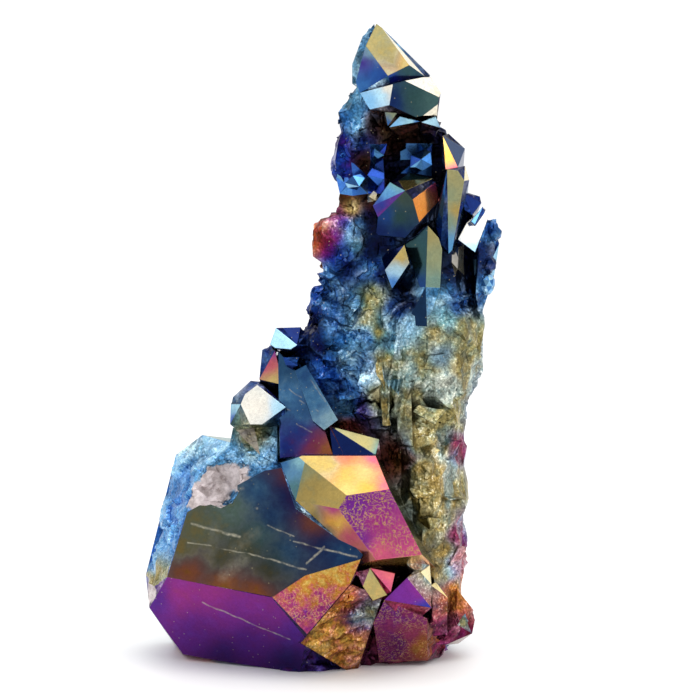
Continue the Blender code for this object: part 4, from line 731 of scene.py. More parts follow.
    def specks(self, tree: Tree, place: Socket) -> Socket:
        """Small pits and grains of dust.

        Args:
            tree: the node tree.
            place: the coordinates.

        Returns:
            Up to one on a speck and zero elsewhere.
        """
        settings = {"Vector": place, "Scale": 1.0 / (self.dust_mm * MM)}
        cells = add_node(tree, "ShaderNodeTexVoronoi", settings)
        away = cells.outputs["Distance"]
        close = {"Value": away, "From Min": 0.04, "From Max": 0.11, "To Min": 0.8, "To Max": 0.0}
        near = add_node(tree, "ShaderNodeMapRange", close).outputs["Result"]
        chosen = add_node(tree, "ShaderNodeSeparateColor", {"Color": cells.outputs["Color"]}).outputs[0]
        some = add_node(tree, "ShaderNodeMath", {0: chosen, 1: 0.5}, operation="LESS_THAN").outputs[0]
        return add_node(tree, "ShaderNodeMath", {0: near, 1: some}, operation="MULTIPLY").outputs[0]

    def scratches(self, tree: Tree, place: Socket, lines: list[Line]) -> Socket:
        """Thin scratches where the film is rubbed off, ragged and faint in places.

        Args:
            tree: the node tree.
            place: the coordinates.
            lines: both ends of each scratch and the scratch.

        Returns:
            Up to one on a scratch and zero elsewhere.
        """
        settings = {"Vector": place, "Scale": 1.0 / (self.bend_mm * MM), "Detail": 3.0}
        wander = add_node(tree, "ShaderNodeTexNoise", settings).outputs["Color"]
        half = {0: wander, 1: (0.5, 0.5, 0.5)}
        level = add_node(tree, "ShaderNodeVectorMath", half, operation="SUBTRACT").outputs[0]
        stray = {0: level, "Scale": self.stray_mm * MM}
        small = add_node(tree, "ShaderNodeVectorMath", stray, operation="SCALE").outputs[0]
        bent = add_node(tree, "ShaderNodeVectorMath", {0: place, 1: small}, operation="ADD").outputs[0]
        total = None
        for start, end, scratch in lines:
            line = self.scratch(tree, bent, start, end, scratch)
            if total is not None:
                line = add_node(tree, "ShaderNodeMath", {0: total, 1: line}, operation="MAXIMUM").outputs[0]
            total = line
        ragged = self.noise(tree, place, self.faint_mm, 4.0)
        gaps = {"Value": ragged, "From Min": 0.22, "From Max": 0.6}
        faint = add_node(tree, "ShaderNodeMapRange", gaps).outputs["Result"]
        return add_node(tree, "ShaderNodeMath", {0: total, 1: faint}, operation="MULTIPLY").outputs[0]

    def scratch(self, tree: Tree, bent: Socket, start: Vector, end: Vector, scratch: Scratch) -> Socket:
        """One scratch.

        Args:
            tree: the node tree.
            bent: the coordinates, a little bent.
            start: one end, in metres.
            end: the other end.
            scratch: its width and strength.

        Returns:
            The scratch's strength along its middle and zero elsewhere.
        """
        along = end - start
        off = add_node(tree, "ShaderNodeVectorMath", {0: bent, 1: start}, operation="SUBTRACT").outputs[0]
        way = {0: off, 1: along / along.length_squared}
        share = add_node(tree, "ShaderNodeVectorMath", way, operation="DOT_PRODUCT").outputs["Value"]
        held = add_node(tree, "ShaderNodeClamp", {"Value": share}).outputs[0]
        reach = {0: along, "Scale": held}
        foot = add_node(tree, "ShaderNodeVectorMath", reach, operation="SCALE").outputs[0]
        apart = {0: off, 1: foot}
        away = add_node(tree, "ShaderNodeVectorMath", apart, operation="DISTANCE").outputs["Value"]
        width = scratch.width * MM
        fall = {
            "Value": away, "From Min": width * 0.1, "From Max": width,
            "To Min": scratch.strength, "To Max": 0.0,
        }
        return add_node(tree, "ShaderNodeMapRange", fall).outputs["Result"]

    def broken_quartz(self, tree: Tree, place: Socket) -> Socket:
        """Milky broken quartz, pinkish white with grey clefts.

        Args:
            tree: the node tree.
            place: the coordinates.

        Returns:
            The colour.
        """
        settings = {"Vector": place, "Scale": 1.0 / (self.cloud_mm * MM), "Detail": 5.0, "Roughness": 0.7}
        cloud = add_node(tree, "ShaderNodeTexNoise", settings).outputs["Fac"]
        ramp = add_node(tree, "ShaderNodeValToRGB", {"Fac": cloud})
        ends = ((0.34, self.cleft_grey), (0.62, self.milky_pink))
        for element, (position, code) in zip(ramp.color_ramp.elements, ends):
            element.position = position
            element.color = linear(code)
        return ramp.outputs["Color"]


@dataclass
class Stone:
    """The whole cluster: a finely divided copy of the solid with its film mapped on.

    Lengths are in millimetres and areas in square millimetres.
    """

    node: str = "quartz_cluster"
    flat_degrees: float = 1.2
    crystal_area: float = 4.0
    front_area: float = 19.0
    front_facing: float = -0.2
    front_depth: float = 6.0
    bed_area: float = 0.35
    bed_depth: float = 1.0
    bedded: dict[int, Bed] = field(default_factory=dict)
    same_turn: float = 0.9995
    same_level: float = 0.06
    face_step: float = 1.1
    rough_step: float = 0.38
    bend: float = 6.5
    bend_reach: float = 1.8
    ridge_wide: float = 5.4
    ridge_tall: float = 5.0
    large_slab: float = 4.6
    small_slab: float = 1.9
    chip: float = 3.2
    small_chip: float = 1.1
    chip_depth: float = 0.38
    ledge_depth: float = 1.7
    # Brightness of the rough stone, scaling its painted valley shade.
    lift: float = 1.25
    strip: int = 6
    rays: int = 14
    cleft_reach: float = 7.0
    wander: float = 9.0
    close: float = 2.2
    stain_wide: float = 3.4
    stain_tall: float = 6.0
    layer_wide: float = 5.0
    layer_tall: float = 0.7
    ragged: float = 1.6
    # Pale colour of the painted highlight on crests.
    crest_highlight: str = "D0CCB6"
    sky_stain: float = 0.80
    teal_stain: float = 0.9
    # Where the film is broken off: across, rise, width and height, as seen from in front.
    breaks: tuple[tuple[float, float, float, float], ...] = (
        (-14.6, 22.4, 3.2, 2.5), (-11.8, 24.6, 3.2, 2.0), (-22.4, 9.0, 1.0, 1.8), (-20.6, 22.0, 0.8, 2.2),
    )
    breaks_depth: float = -3.0
    knob: tuple[float, float, float] = (2.0, -4.0, 58.5)
    knob_reach: float = 6.5
    slab_left: float = 9.0
    slab_foot: float = 4.0
    slab_top: float = 52.0
    slab_back: float = 6.0
    layers_top: float = 11.0
    layers_depth: float = -4.0
    back_depth: float = 1.0
    back_blend: float = 5.0
    face_power: float = 3.0
    stone_power: float = 4.5
    stone_soft: float = 1.1
    ray_seed: int = 5
    film_seed: int = 17
    film_change: float = 0.14
    film_slope: float = 0.009
    crystal_light: tuple[float, float] = (0.5, 1.2)
    # How dark the painted shade in closed-in clefts gets, on crystal faces and on stone.
    crystal_cleft_shade: float = 0.5
    stone_cleft_shade: float = 0.3
    # Painted highlight on crests and painted shade in valleys and hollows.
    pale_from: float = 0.54
    pale_share: float = 0.8
    valley_floor: float = 0.34
    valley_rise: float = 1.15
    hollow_from: float = 0.52
    hollow_depth: float = 1.6
    finish: TitaniumFilm = field(default_factory=TitaniumFilm)

    def build(self, source: bpy.types.Object) -> bpy.types.Object:
        """Builds and dresses the stone.

        Args:
            source: the solid's object.

        Returns:
            The finished piece.
        """
        bm = bmesh.new()
        bm.from_mesh(source.data)
        bmesh.ops.remove_doubles(bm, verts=list(bm.verts), dist=0.0005 * MM)
        bmesh.ops.scale(bm, vec=Vector((1.0 / MM,) * 3), verts=list(bm.verts))
        bm.normal_update()
        region = self.find_regions(bm)
        tree = BVHTree.FromBMesh(bm)
        chosen = self.name_faces(bm, tree)
        kinds = self.classify(bm, region, chosen)
        self.divide(bm, kinds)
        bm.normal_update()
        unshaded = self.unshaded_share(bm, tree)
        lines = self.find_scratches(tree)
        self.break_surface(bm)
        bmesh.ops.scale(bm, vec=Vector((MM,) * 3), verts=list(bm.verts))
        mesh = bpy.data.meshes.new("quartz_stone")
        bm.to_mesh(mesh)
        bm.free()
        self.map_film(mesh, chosen, len(kinds), unshaded)
        piece = bpy.data.objects.new("quartz_stone", mesh)
        bpy.context.scene.collection.objects.link(piece)
        mesh.materials.append(self.finish.make(lines))
        return piece

    def find_regions(self, bm: bmesh.types.BMesh) -> bmesh.types.BMLayerItem:
        """Numbers the flat faces: triangles that lie in one plane and touch get one number.

        Args:
            bm: the mesh.

        Returns:
            The layer that holds the numbers.
        """
        layer = bm.faces.layers.int.new("region")
        limit = math.radians(self.flat_degrees)
        for item in bm.faces:
            item[layer] = -1
        count = 0
        for start in bm.faces:
            if start[layer] >= 0:
                continue
            start[layer] = count
            group = [start]
            for item in group:
                for edge in item.edges:
                    for other in edge.link_faces:
                        if other[layer] < 0 and other.normal.angle(start.normal, 4.0) < limit:
                            other[layer] = count
                            group.append(other)
            count += 1
        return layer

    def classify(
        self, bm: bmesh.types.BMesh, layer: bmesh.types.BMLayerItem, chosen: dict[int, Face]
    ) -> list[bool]:
        """Tells flat crystal faces from broken stone.

        Args:
            bm: the mesh.
            layer: the layer with the face numbers.
            chosen: the faces that the table names.

        Returns:
            For each number, whether it is a crystal face.
        """
        area = [0.0] * (max(item[layer] for item in bm.faces) + 1)
        for item in bm.faces:
            area[item[layer]] += item.calc_area()
        middle = np.zeros((len(area), 3))
        facing = np.zeros((len(area), 3))
        for item in bm.faces:
            middle[item[layer]] = item.calc_center_median()
            facing[item[layer]] = item.normal
        seen = SIGHT.seen(middle)
        front = (facing @ np.array(SIGHT.axes()[0]) < self.front_facing) & (middle[:, 1] < self.front_depth)
        kinds = [size > (self.front_area if fore else self.crystal_area) for size, fore in zip(area, front)]
        for bed in BEDS:
            near = np.hypot(seen[:, 0] - bed.across, seen[:, 1] - bed.rise) < bed.reach
            for number in np.flatnonzero(near & (middle[:, 1] < self.bed_depth)):
                if area[number] > self.bed_area and int(number) not in chosen:
                    kinds[number] = True
                    self.bedded[int(number)] = bed
        for number, entry in chosen.items():
            kinds[number] = entry.worn < 0.5
        return kinds

    def name_faces(self, bm: bmesh.types.BMesh, tree: BVHTree) -> dict[int, Face]:
        """Finds the crystal faces that the table names, by looking at them from in front.

        Args:
            bm: the mesh.
            tree: its search tree.

        Returns:
            Face number to its entry.
        """
        layer = bm.faces.layers.int["region"]
        bm.faces.ensure_lookup_table()
        eye = SIGHT.eye()
        chosen: dict[int, Face] = {}
        for entry in CRYSTAL_FACES:
            first = entry.stops[0]
            place, normal, index, _ = tree.ray_cast(eye, SIGHT.way(first.across, first.rise))
            if index is None:
                LOG.warning("nothing at %s", entry.name)
                continue
            flush = [
                item
                for item in bm.faces
                if item.normal.dot(normal) > self.same_turn
                and abs((item.calc_center_median() - place).dot(normal)) < self.same_level
            ]
            size = sum(item.calc_area() for item in flush if item[layer] not in chosen)
            for item in flush:
                chosen.setdefault(item[layer], entry)
            LOG.info("%s: %.1f square mm", entry.name, size)
        return chosen

    def find_scratches(self, tree: BVHTree) -> list[tuple[Vector, Vector, Scratch]]:
        """Finds both ends of each scratch on the solid, by looking at them from in front.

        Args:
            tree: the solid's search tree.

        Returns:
            Both ends in metres, and the scratch.
        """
        eye = SIGHT.eye()
        found = []
        for scratch in SCRATCHES:
            ends = [tree.ray_cast(eye, SIGHT.way(*place))[0] for place in (scratch.start, scratch.end)]
            if None not in ends:
                found.append((ends[0] * MM, ends[1] * MM, scratch))
        LOG.info("%d scratches", len(found))
        return found

    def divide(self, bm: bmesh.types.BMesh, kinds: list[bool]) -> None:
        """Divides long edges until the mesh is fine enough, finer on broken stone.

        Args:
            bm: the mesh.
            kinds: for each face number, whether it is a crystal face.
        """
        layer = bm.faces.layers.int["region"]
        for _ in range(8):
            long_edges = []
            for edge in bm.edges:
                crystal = all(kinds[f[layer]] for f in edge.link_faces)
                if edge.calc_length() > (self.face_step if crystal else self.rough_step) * 1.4:
                    long_edges.append(edge)
            if not long_edges:
                break
            bmesh.ops.subdivide_edges(bm, edges=long_edges, cuts=1, use_grid_fill=False)
            bmesh.ops.triangulate(bm, faces=[f for f in bm.faces if len(f.verts) > 3])
        kind = bm.faces.layers.int.new("crystal")
        for item in bm.faces:
            item[kind] = int(kinds[item[layer]])
        LOG.info("%d triangles", len(bm.faces))

    def break_surface(self, bm: bmesh.types.BMesh) -> None:
        """Breaks the rough stone in ledges and chips and leaves the crystal faces flat.

        Args:
            bm: the mesh.
        """
        bm.normal_update()
        low = [min(vert.co[axis] for vert in bm.verts) for axis in range(3)]
        high = [max(vert.co[axis] for vert in bm.verts) for axis in range(3)]
        fade = self.away_from_crystals(bm)
        moves = []
        for vert in bm.verts:
            share = fade.get(vert, 1.0)
            if vert.co.z < 0.05 or share == 0.0:
                continue
            amount = self.ledge(vert.co) * share - self.chipped(vert.co) * (0.4 + 0.6 * share)
            moves.append((vert, vert.normal * amount))
        for vert, move in moves:
            moved = vert.co + move
            vert.co = Vector([min(max(moved[axis], low[axis]), high[axis]) for axis in range(3)])

    def away_from_crystals(self, bm: bmesh.types.BMesh) -> dict[bmesh.types.BMVert, float]:
        """How far points are from the crystal faces, as a share of the strip in which the ledges rise.

        Args:
            bm: the mesh.

        Returns:
            Zero on a crystal face, rising to one. Points further away are left out.
        """
        kind = bm.faces.layers.int["crystal"]
        ring = {vert for vert in bm.verts if any(item[kind] for item in vert.link_faces)}
        fade = {vert: 0.0 for vert in ring}
        for step in range(1, self.strip):
            ring = {edge.other_vert(vert) for vert in ring for edge in vert.link_edges} - fade.keys()
            fade.update((vert, step / self.strip) for vert in ring)
        return fade

    def calm(self, place: Vector) -> float:
        """How much smoother the stone is than elsewhere: the long slab down the right side has low relief.

        Args:
            place: the point, in millimetres.

        Returns:
            From 0 on rough stone to 1 on the slab.
        """
        side = clamp((place.x - self.slab_left) / 3.0)
        height = clamp((place.z - self.slab_foot) / 4.0) * clamp((self.slab_top - place.z) / 4.0)
        return side * height * clamp((self.slab_back - place.y) / 4.0)

    def rounded(self, place: Vector) -> float:
        """How far the stone is worn round: the knob on the left side half way up is.

        Args:
            place: the point, in millimetres.

        Returns:
            From 0 to 1.
        """
        return clamp((self.knob_reach - (place - Vector(self.knob)).length) / 2.0)

    def crest(self, place: Vector) -> float:
        """How near a place is to the crest of a ridge in the broken stone.

        Args:
            place: the point, in millimetres.

        Returns:
            From 0 in a valley to 1 on a crest.
        """
        bent = place + noise.noise_vector(place / self.bend) * self.bend_reach
        calm = self.calm(place)
        flat = self.layered(place)
        tall = self.ridge_tall + 5.0 * calm - 3.6 * flat
        swell = Vector((bent.x / self.ridge_wide, bent.y / self.ridge_wide, bent.z / tall))
        broad = 1.0 - min(abs(noise.noise(swell)) * 2.4, 1.0)
        squeeze = 0.72 + 0.9 * flat - 0.25 * calm
        stretched = Vector((place.x / (1.0 + 0.8 * flat), place.y, place.z * squeeze))
        large = self.slab_height(stretched, self.large_slab)
        small = self.slab_height(stretched + Vector((9.0, 3.0, 5.0)), self.small_slab)
        return broad * 0.30 + large * 0.42 + small * 0.28

    def slab_height(self, place: Vector, size: float) -> float:
        """How high a place lies on a broken surface of leaning flat slabs.

        Args:
            place: the point, in millimetres.
            size: how wide the slabs are.

        Returns:
            From 0 to 1.
        """
        corner, lean, level = self.chip_at(place, size)
        return clamp(0.5 + (place / size - corner).dot(lean) * 1.5 + (level - 0.5) * 0.8)

    def layered(self, place: Vector) -> float:
        """How far the stone lies in thin flat layers: it does at the foot of the front.

        Args:
            place: the point, in millimetres.

        Returns:
            From 0 to 1.
        """
        return clamp((self.layers_top - place.z) / 2.0) * clamp((self.layers_depth - place.y) / 2.0)

    def ledge(self, place: Vector) -> float:
        """How far the broken stone stands out at a place.

        Args:
            place: the point, in millimetres.

        Returns:
            The height in millimetres.
        """
        height = (self.crest(place) - 0.45) * self.ledge_depth
        return height * (1.0 - 0.6 * self.calm(place)) * (1.0 - 0.5 * self.rounded(place))

    def chipped(self, place: Vector) -> float:
        """How far the broken surface lies below the ledge at a place.

        Args:
            place: the point, in millimetres.

        Returns:
            The depth in millimetres.
        """
        depth = 0.0
        for size, share in ((self.chip, 0.6), (self.small_chip, 0.4)):
            corner, lean, level = self.chip_at(place, size)
            depth += ((place / size - corner).dot(lean) * 1.6 + level) * share
        return clamp(depth, 1.4) * self.chip_depth

    def chip_at(self, place: Vector, size: float) -> tuple[Vector, Vector, float]:
        """The chip that a place lies on.

        Args:
            place: the point, in millimetres.
            size: how wide the chips are.

        Returns:
            The chip's middle in units of its size, how it leans, and its own number from 0 to 1.
        """
        corner = noise.voronoi(place / size)[1][0]
        lean = noise.cell_vector(corner * 9.0) - Vector((0.5, 0.5, 0.5))
        return corner, lean, noise.cell(corner * 5.0)

    def chip_painted_light(self, mesh: bpy.types.Mesh) -> np.ndarray:
        """Painted light on the chips: each is made brighter or darker by a random amount, as if it leaned
        its own way to the light.

        Args:
            mesh: the mesh.

        Returns:
            A factor for each triangle.
        """
        centres = self.numbers(mesh.polygons, "center", 3) / MM
        level = measure_all(centres, lambda place: self.chip_at(place, self.chip)[2])
        small = measure_all(centres, lambda place: self.chip_at(place, self.small_chip)[2])
        return (0.9 + 0.2 * level) * (0.84 + 0.32 * small)

    def map_film(
        self, mesh: bpy.types.Mesh, chosen: dict[int, Face], count: int, unshaded: np.ndarray
    ) -> None:
        """Stores the film's colour, its thickness, brightness and wear at every corner of the mesh, with
        painted light and shade in the colour and brightness.

        Args:
            mesh: the finished mesh.
            chosen: face number to its entry.
            count: how many face numbers there are.
            unshaded: how open each point is.
        """
        points = self.numbers(mesh.vertices, "co", 3) / MM
        corners = self.numbers(mesh.loops, "vertex_index").astype(int)
        region = np.repeat(self.numbers(mesh.attributes["region"].data, "value").astype(int), 3)
        crystal = np.repeat(self.numbers(mesh.attributes["crystal"].data, "value").astype(int), 3) == 1
        seen = SIGHT.seen(points)
        unshaded = unshaded[corners]
        layers = self.stone_film(points, seen, corners)
        painted_shine = np.repeat(self.chip_painted_light(mesh), 3)
        layers["rough"] = np.where(crystal, 0.1, 1.0)
        layers["etched"] = np.zeros(len(corners))
        layers["bare"] = np.zeros(len(corners))
        layers["mottled"] = np.where(crystal, 0.06, 0.28)
        self.vary_crystals(layers, crystal, region, count, points[corners])
        for number, entry in chosen.items():
            here = region == number
            colour, film, tone = self.blend(seen[corners[here]], entry.stops, self.face_power, entry.soft)
            values = {
                "colour": colour, "film": film, "tone": tone, "rough": entry.worn, "etched": entry.etched,
                "bare": entry.bare, "mottled": max(entry.mottled, entry.worn * 0.5, 0.05),
            }
            for name, value in values.items():
                layers[name][here] = value
        # Painted light: each chip of rough stone is made lighter or darker as if it caught the light at its
        # own angle.
        painted_shine = np.where(crystal, 1.0, 1.0 + (painted_shine - 1.0) * layers["rough"])
        layers["tone"] = layers["tone"] * painted_shine
        layers["colour"] = layers["colour"] * painted_shine[:, None]
        chip = self.chip_mask(points)[corners] * np.where(np.isin(region, list(chosen)), 0.0, 1.0)
        layers["bare"] = np.maximum(layers["bare"], chip)
        # Painted highlight on crests and painted shade in valleys and hollows of the rough stone.
        self.paint_crest_light_and_hollow_shade(layers, points, corners)
        # Painted shade: points closed in by clefts are darkened, more on stone than on crystal faces.
        shade = np.where(crystal, self.crystal_cleft_shade, self.stone_cleft_shade)
        depth = shade + (1.0 - shade) * unshaded
        layers["tone"] = layers["tone"] * depth
        layers["colour"] = layers["colour"] * depth[:, None]
        for name, values in layers.items():
            self.store(mesh, name, values)
        mesh.attributes.remove(mesh.attributes["region"])
        mesh.attributes.remove(mesh.attributes["crystal"])

    def numbers(self, items: object, name: str, width: int = 1) -> np.ndarray:
        """Reads one property of many items.

        Args:
            items: the items.
            name: the property.
            width: how many numbers each has.

        Returns:
            One row for each item.
        """
        whole = name in ("vertex_index", "value")
        found = np.empty(len(items) * width, dtype=np.int32 if whole else np.float64)
        items.foreach_get(name, found)
        return found.reshape(-1, width) if width > 1 else found

    def store(self, mesh: bpy.types.Mesh, name: str, values: np.ndarray) -> None:
        """Stores values at the corners.

        Args:
            mesh: the mesh.
            name: the attribute's name.
            values: one number, or red, green and blue, for each corner.
        """
        values = np.clip(values, 0.0, 1.0)
        if values.ndim == 1:
            layer = mesh.attributes.new(name, "FLOAT", "CORNER")
            layer.data.foreach_set("value", np.ascontiguousarray(values, dtype=np.float32))
            return
        layer = mesh.attributes.new(name, "FLOAT_COLOR", "CORNER")
        rows = np.concatenate([values, np.ones((len(values), 1))], axis=1)
        layer.data.foreach_set("color", np.ascontiguousarray(rows.ravel(), dtype=np.float32))

    def unshaded_share(self, bm: bmesh.types.BMesh, tree: BVHTree) -> np.ndarray:
        """How open each point is, for the painted shade that darkens deep clefts.

        Args:
            bm: the mesh, before its stone is broken.
            tree: the solid's search tree.

        Returns:
            From 0 in a cleft to 1 in the open.
        """
        chance = np.random.default_rng(self.ray_seed)
        ways = [Vector(row).normalized() for row in chance.normal(size=(self.rays, 3))]
        result = np.zeros(len(bm.verts))
        for index, vert in enumerate(bm.verts):
            start = vert.co + vert.normal * 0.25
            free = 0
            for way in ways:
                outward = way if way.dot(vert.normal) > 0.0 else -way
                if tree.ray_cast(start, outward, self.cleft_reach)[0] is None:
                    free += 1
            result[index] = free / self.rays
        return np.clip(result * 1.3, 0.0, 1.0) ** 1.3

    def vary_crystals(
        self,
        layers: dict[str, np.ndarray],
        crystal: np.ndarray,
        region: np.ndarray,
        count: int,
        places: np.ndarray,
    ) -> None:
        """Gives each crystal face that the table doesn't name a film of its own.

        Args:
            layers: the values at the corners, which it changes.
            crystal: which corners are on crystal faces.
            region: their face numbers.
            count: how many face numbers there are.
            places: where the corners are.
        """
        chance = np.random.default_rng(self.film_seed)
        change = chance.uniform(-self.film_change, self.film_change, count)
        light = chance.uniform(*self.crystal_light, count)
        run = chance.normal(size=(count, 3)) * self.film_slope
        # Each face has one film that gets thicker steadily across it.
        total = np.maximum(np.bincount(region, minlength=count), 1)
        mean = {name: np.bincount(region, layers[name], count) / total for name in ("film", "tone")}
        sums = [np.bincount(region, places[:, axis], count) for axis in range(3)]
        middle = np.stack(sums, axis=1) / total[:, None]
        slope = ((places - middle[region]) * run[region]).sum(axis=1)
        film = np.clip(mean["film"][region] + change[region] + slope, 0.0, 1.0)
        tone = np.clip(mean["tone"][region] * light[region], 0.08, 0.85)
        layers["film"] = np.where(crystal, film, layers["film"])
        layers["tone"] = np.where(crystal, tone, layers["tone"])
        for number, bed in self.bedded.items():
            here = region == number
            film[here] = np.clip(bed.film + change[number] * bed.vary * 5.0, 0.0, 1.0)
            tone[here] = min(bed.tone * light[number], 1.0)
        own = film_colour(film) * tone[:, None]
        layers["colour"] = np.where(crystal[:, None], own, layers["colour"])

    def blend(
        self, seen: np.ndarray, stops: tuple[Stop, ...], power: float, soft: float
    ) -> tuple[np.ndarray, np.ndarray, np.ndarray]:
        """Blends colour, film and tone between stops.

        Args:
            seen: where the corners are seen.
            stops: the stops.
            power: how sharply the nearest stop wins.
            soft: over how many millimetres the stops run together.

        Returns:
            Colour, film and tone.
        """
        total = np.zeros(len(seen))
        film = np.zeros(len(seen))
        tone = np.zeros(len(seen))
        colour = np.zeros((len(seen), 3))
        for stop in stops:
            away = np.hypot(seen[:, 0] - stop.across, seen[:, 1] - stop.rise)
            weight = 1.0 / (away * away + soft * soft) ** (power * 0.5)
            total += weight
            film += weight * stop.film
            tone += weight * stop.tone
            colour += weight[:, None] * film_colour(np.array([stop.film])) * stop.tone
        return colour / total[:, None], film / total, tone / total

    def stone_film(
        self, points: np.ndarray, seen: np.ndarray, corners: np.ndarray
    ) -> dict[str, np.ndarray]:
        """Colour, film and tone of the broken stone, which change from place to place.

        Args:
            points: the mesh's points.
            seen: where they are seen.
            corners: the point of each corner.

        Returns:
            Colour, film and tone at the corners.
        """
        colour, film, tone = self.blend(seen, ROUGH_PLACES, self.stone_power, self.stone_soft)
        wander = measure_all(points, lambda place: noise.noise(place / self.wander))
        close = measure_all(points, lambda place: noise.noise(place / self.close))
        back = np.clip((points[:, 1] - self.back_depth) / self.back_blend, 0.0, 1.0)
        behind = np.clip(0.62 + wander * 0.75 + close * 0.12, 0.05, 0.98)
        film = film * (1.0 - back) + behind * back
        tone = tone * (1.0 - back) + back * np.clip(0.55 + close * 0.4, 0.1, 0.9)
        colour = colour * (1.0 - back[:, None]) + back[:, None] * film_colour(behind) * tone[:, None]
        # The slab is stained in patches of sky blue.
        stain_size = np.array([self.stain_wide, self.stain_wide, self.stain_tall])
        stain = measure_all(points / stain_size, noise.noise)
        share = np.clip((stain - 0.08) / 0.25, 0.0, 1.0) * (1.0 - back) * 0.55
        stained = (measure_all(points, self.calm) * share)[:, None]
        sky = film_colour(np.array([self.sky_stain]))
        colour = colour * (1.0 - stained) + stained * sky * tone[:, None]
        return {"colour": colour[corners], "film": film[corners], "tone": tone[corners]}

    def paint_crest_light_and_hollow_shade(self, layers: dict[str, np.ndarray], points: np.ndarray, corners: np.ndarray) -> None:
        """Paints highlights on the crests of the rough stone and shade in its valleys.

        Args:
            layers: the values at the corners, which it changes.
            points: the mesh's points.
            corners: the point of each corner.
        """
        crest, calm, flat = (
            measure_all(points, measure)[corners] for measure in (self.crest, self.calm, self.layered)
        )
        stone = layers["rough"] * (1.0 - layers["bare"])
        # Painted highlight: crests are made pale. Painted shade: valleys are made dark.
        pale = np.clip((crest - self.pale_from) / 0.2, 0.0, 1.0) * np.clip(layers["tone"] * 1.5, 0.0, 1.0)
        pale = (pale * self.pale_share * stone * (1.0 - 0.6 * flat))[:, None]
        valley = np.clip(self.valley_floor + crest * self.valley_rise, 0.0, self.valley_rise)
        valley = (valley * (1.0 - 0.5 * calm) + 0.5 * calm) * self.lift
        valley = 1.0 + (valley - 1.0) * stone
        # The thin layers at the foot are edged in dark lines and stained teal between them.
        layer_size = np.array([self.layer_wide, self.layer_wide, self.layer_tall])
        band = measure_all(points / layer_size, noise.noise)[corners]
        dark = (np.clip((band - 0.16) / 0.12, 0.0, 1.0) * flat * stone * 0.65)[:, None]
        teal = (np.clip((-band - 0.12) / 0.2, 0.0, 1.0) * flat * stone * 0.2 * layers["tone"])[:, None]
        colour = layers["colour"] * (1.0 - dark) * (1.0 - teal)
        colour = colour + teal * film_colour(np.array([self.teal_stain]))
        # Painted shade in the hollows: they are deeper in colour as well as darker.
        pure = colour / np.maximum(colour.max(axis=1, keepdims=True), 1e-6)
        hollow = np.clip((self.hollow_from - crest) / 0.3, 0.0, 1.0) * stone
        low = (hollow * (1.0 - 0.7 * np.maximum(calm, flat)))[:, None]
        colour = colour * (1.0 - low) + low * colour * pure ** self.hollow_depth
        light = np.array(linear(self.crest_highlight)[:3]) * 0.5 + np.minimum(colour * 2.2, 1.0) * 0.5
        layers["colour"] = (colour * (1.0 - pale) + pale * light) * valley[:, None]
        layers["tone"] = layers["tone"] * valley

    def chip_mask(self, points: np.ndarray) -> np.ndarray:
        """Where the broken shoulder of the block shows bare quartz.

        Args:
            points: the mesh's points.

        Returns:
            One on the break.
        """
        seen = SIGHT.seen(points)
        ragged = measure_all(points, lambda place: noise.noise(place / self.ragged)) * 0.5
        near = points[:, 1] < self.breaks_depth
        found = np.zeros(len(points))
        for across, rise, width, height in self.breaks:
            away = np.hypot((seen[:, 0] - across) / width, (seen[:, 1] - rise) / height)
            found = np.where(near & (away + ragged < 1.0), 1.0, found)
        return found


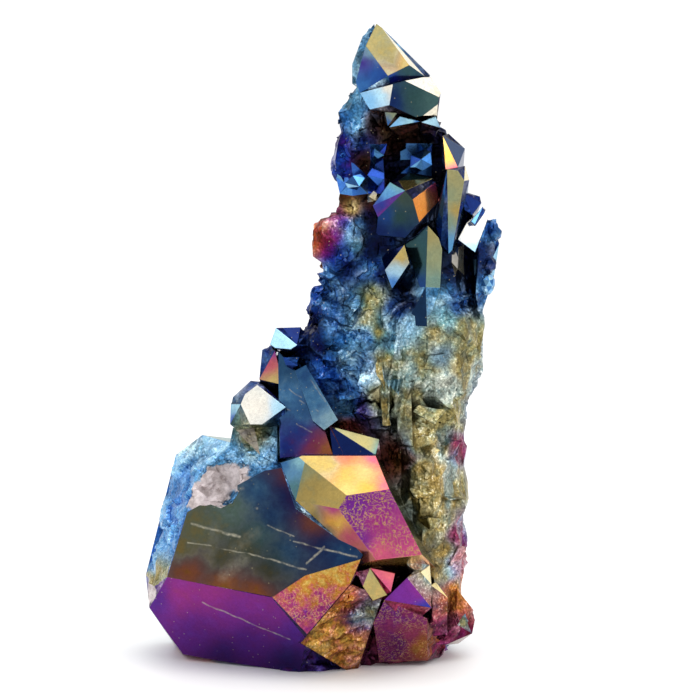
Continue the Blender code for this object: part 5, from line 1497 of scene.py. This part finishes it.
@dataclass
class Studio:
    """The pale floor, the soft light and the camera, in metres."""

    lens_mm: float = 146.9
    floor_size: float = 14.0
    card_gloss: float = 0.6
    sky: float = 1.12
    front: float = 0.82
    near_limit: float = 0.01
    aim: tuple[float, float, float] = (0.0, 0.0, 0.04)

    def build(self) -> None:
        """Sets up the floor, the world, the lights and the camera."""
        self.lay_floor()
        self.light_world()
        self.hang_lights()
        self.place_camera()

    def lay_floor(self) -> None:
        """Lays the floor."""
        bm = bmesh.new()
        bmesh.ops.create_grid(bm, x_segments=1, y_segments=1, size=self.floor_size / 2)
        mesh = bpy.data.meshes.new("floor")
        bm.to_mesh(mesh)
        bm.free()
        floor = bpy.data.objects.new("floor", mesh)
        bpy.context.scene.collection.objects.link(floor)
        # Matt white card: it takes a soft shadow and shows no reflection.
        made = bpy.data.materials.new("white card")
        made.use_nodes = True
        shader = made.node_tree.nodes["Principled BSDF"]
        shader.inputs["Base Color"].default_value = linear("FDFDFD")
        shader.inputs["Roughness"].default_value = self.card_gloss
        mesh.materials.append(made)

    def light_world(self) -> None:
        """Makes the white surroundings."""
        world = bpy.data.worlds.new("white room")
        bpy.context.scene.world = world
        world.use_nodes = True
        tree = world.node_tree
        ground = tree.nodes["Background"]
        way = add_node(tree, "ShaderNodeTexCoord").outputs["Generated"]
        # The room is white above and to the sides, and darker in front, where the viewer stands.
        viewer = {0: way, 1: (0.0, -0.96, 0.1)}
        toward = add_node(tree, "ShaderNodeVectorMath", viewer, operation="DOT_PRODUCT").outputs["Value"]
        dim = add_node(
            tree, "ShaderNodeMapRange",
            {"Value": toward, "From Min": 0.25, "From Max": 0.95, "To Min": self.sky, "To Max": self.front},
        ).outputs["Result"]
        tree.links.new(dim, ground.inputs["Strength"])
        ground.inputs["Color"].default_value = linear("FFFFFF")

    def hang_lights(self) -> None:
        """Hangs the soft lights."""
        for name, place, size, watts in (
            ("soft_light_above", (0.10, -0.05, 0.60), 0.60, 1.4),
            ("soft_light_right", (0.50, -0.30, 0.35), 0.45, 0.5),
        ):
            data = bpy.data.lights.new(name, "AREA")
            data.size = size
            data.energy = watts
            lamp = bpy.data.objects.new(name, data)
            lamp.location = place
            lamp.rotation_euler = (Vector(self.aim) - Vector(place)).to_track_quat("-Z", "Y").to_euler()
            bpy.context.scene.collection.objects.link(lamp)

    def place_camera(self) -> None:
        """Places the camera on the line of sight."""
        data = bpy.data.cameras.new("camera")
        data.lens = self.lens_mm
        data.clip_start = self.near_limit
        camera = bpy.data.objects.new("camera", data)
        camera.location = SIGHT.eye() * MM
        camera.rotation_euler = SIGHT.axes()[0].to_track_quat("-Z", "Y").to_euler()
        bpy.context.scene.collection.objects.link(camera)
        bpy.context.scene.camera = camera
        bpy.context.scene.view_settings.view_transform = "Standard"


def main() -> None:
    """Builds the scene."""
    logging.basicConfig(level=logging.INFO, format="%(message)s")
    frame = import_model()
    stone = Stone()
    piece = stone.build(frame["nodes"][stone.node])
    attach(piece, "root")
    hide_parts(stone.node)
    LOG.info("stone built")
    Studio().build()
    LOG.info("studio built")


if __name__ == "__main__":
    main()
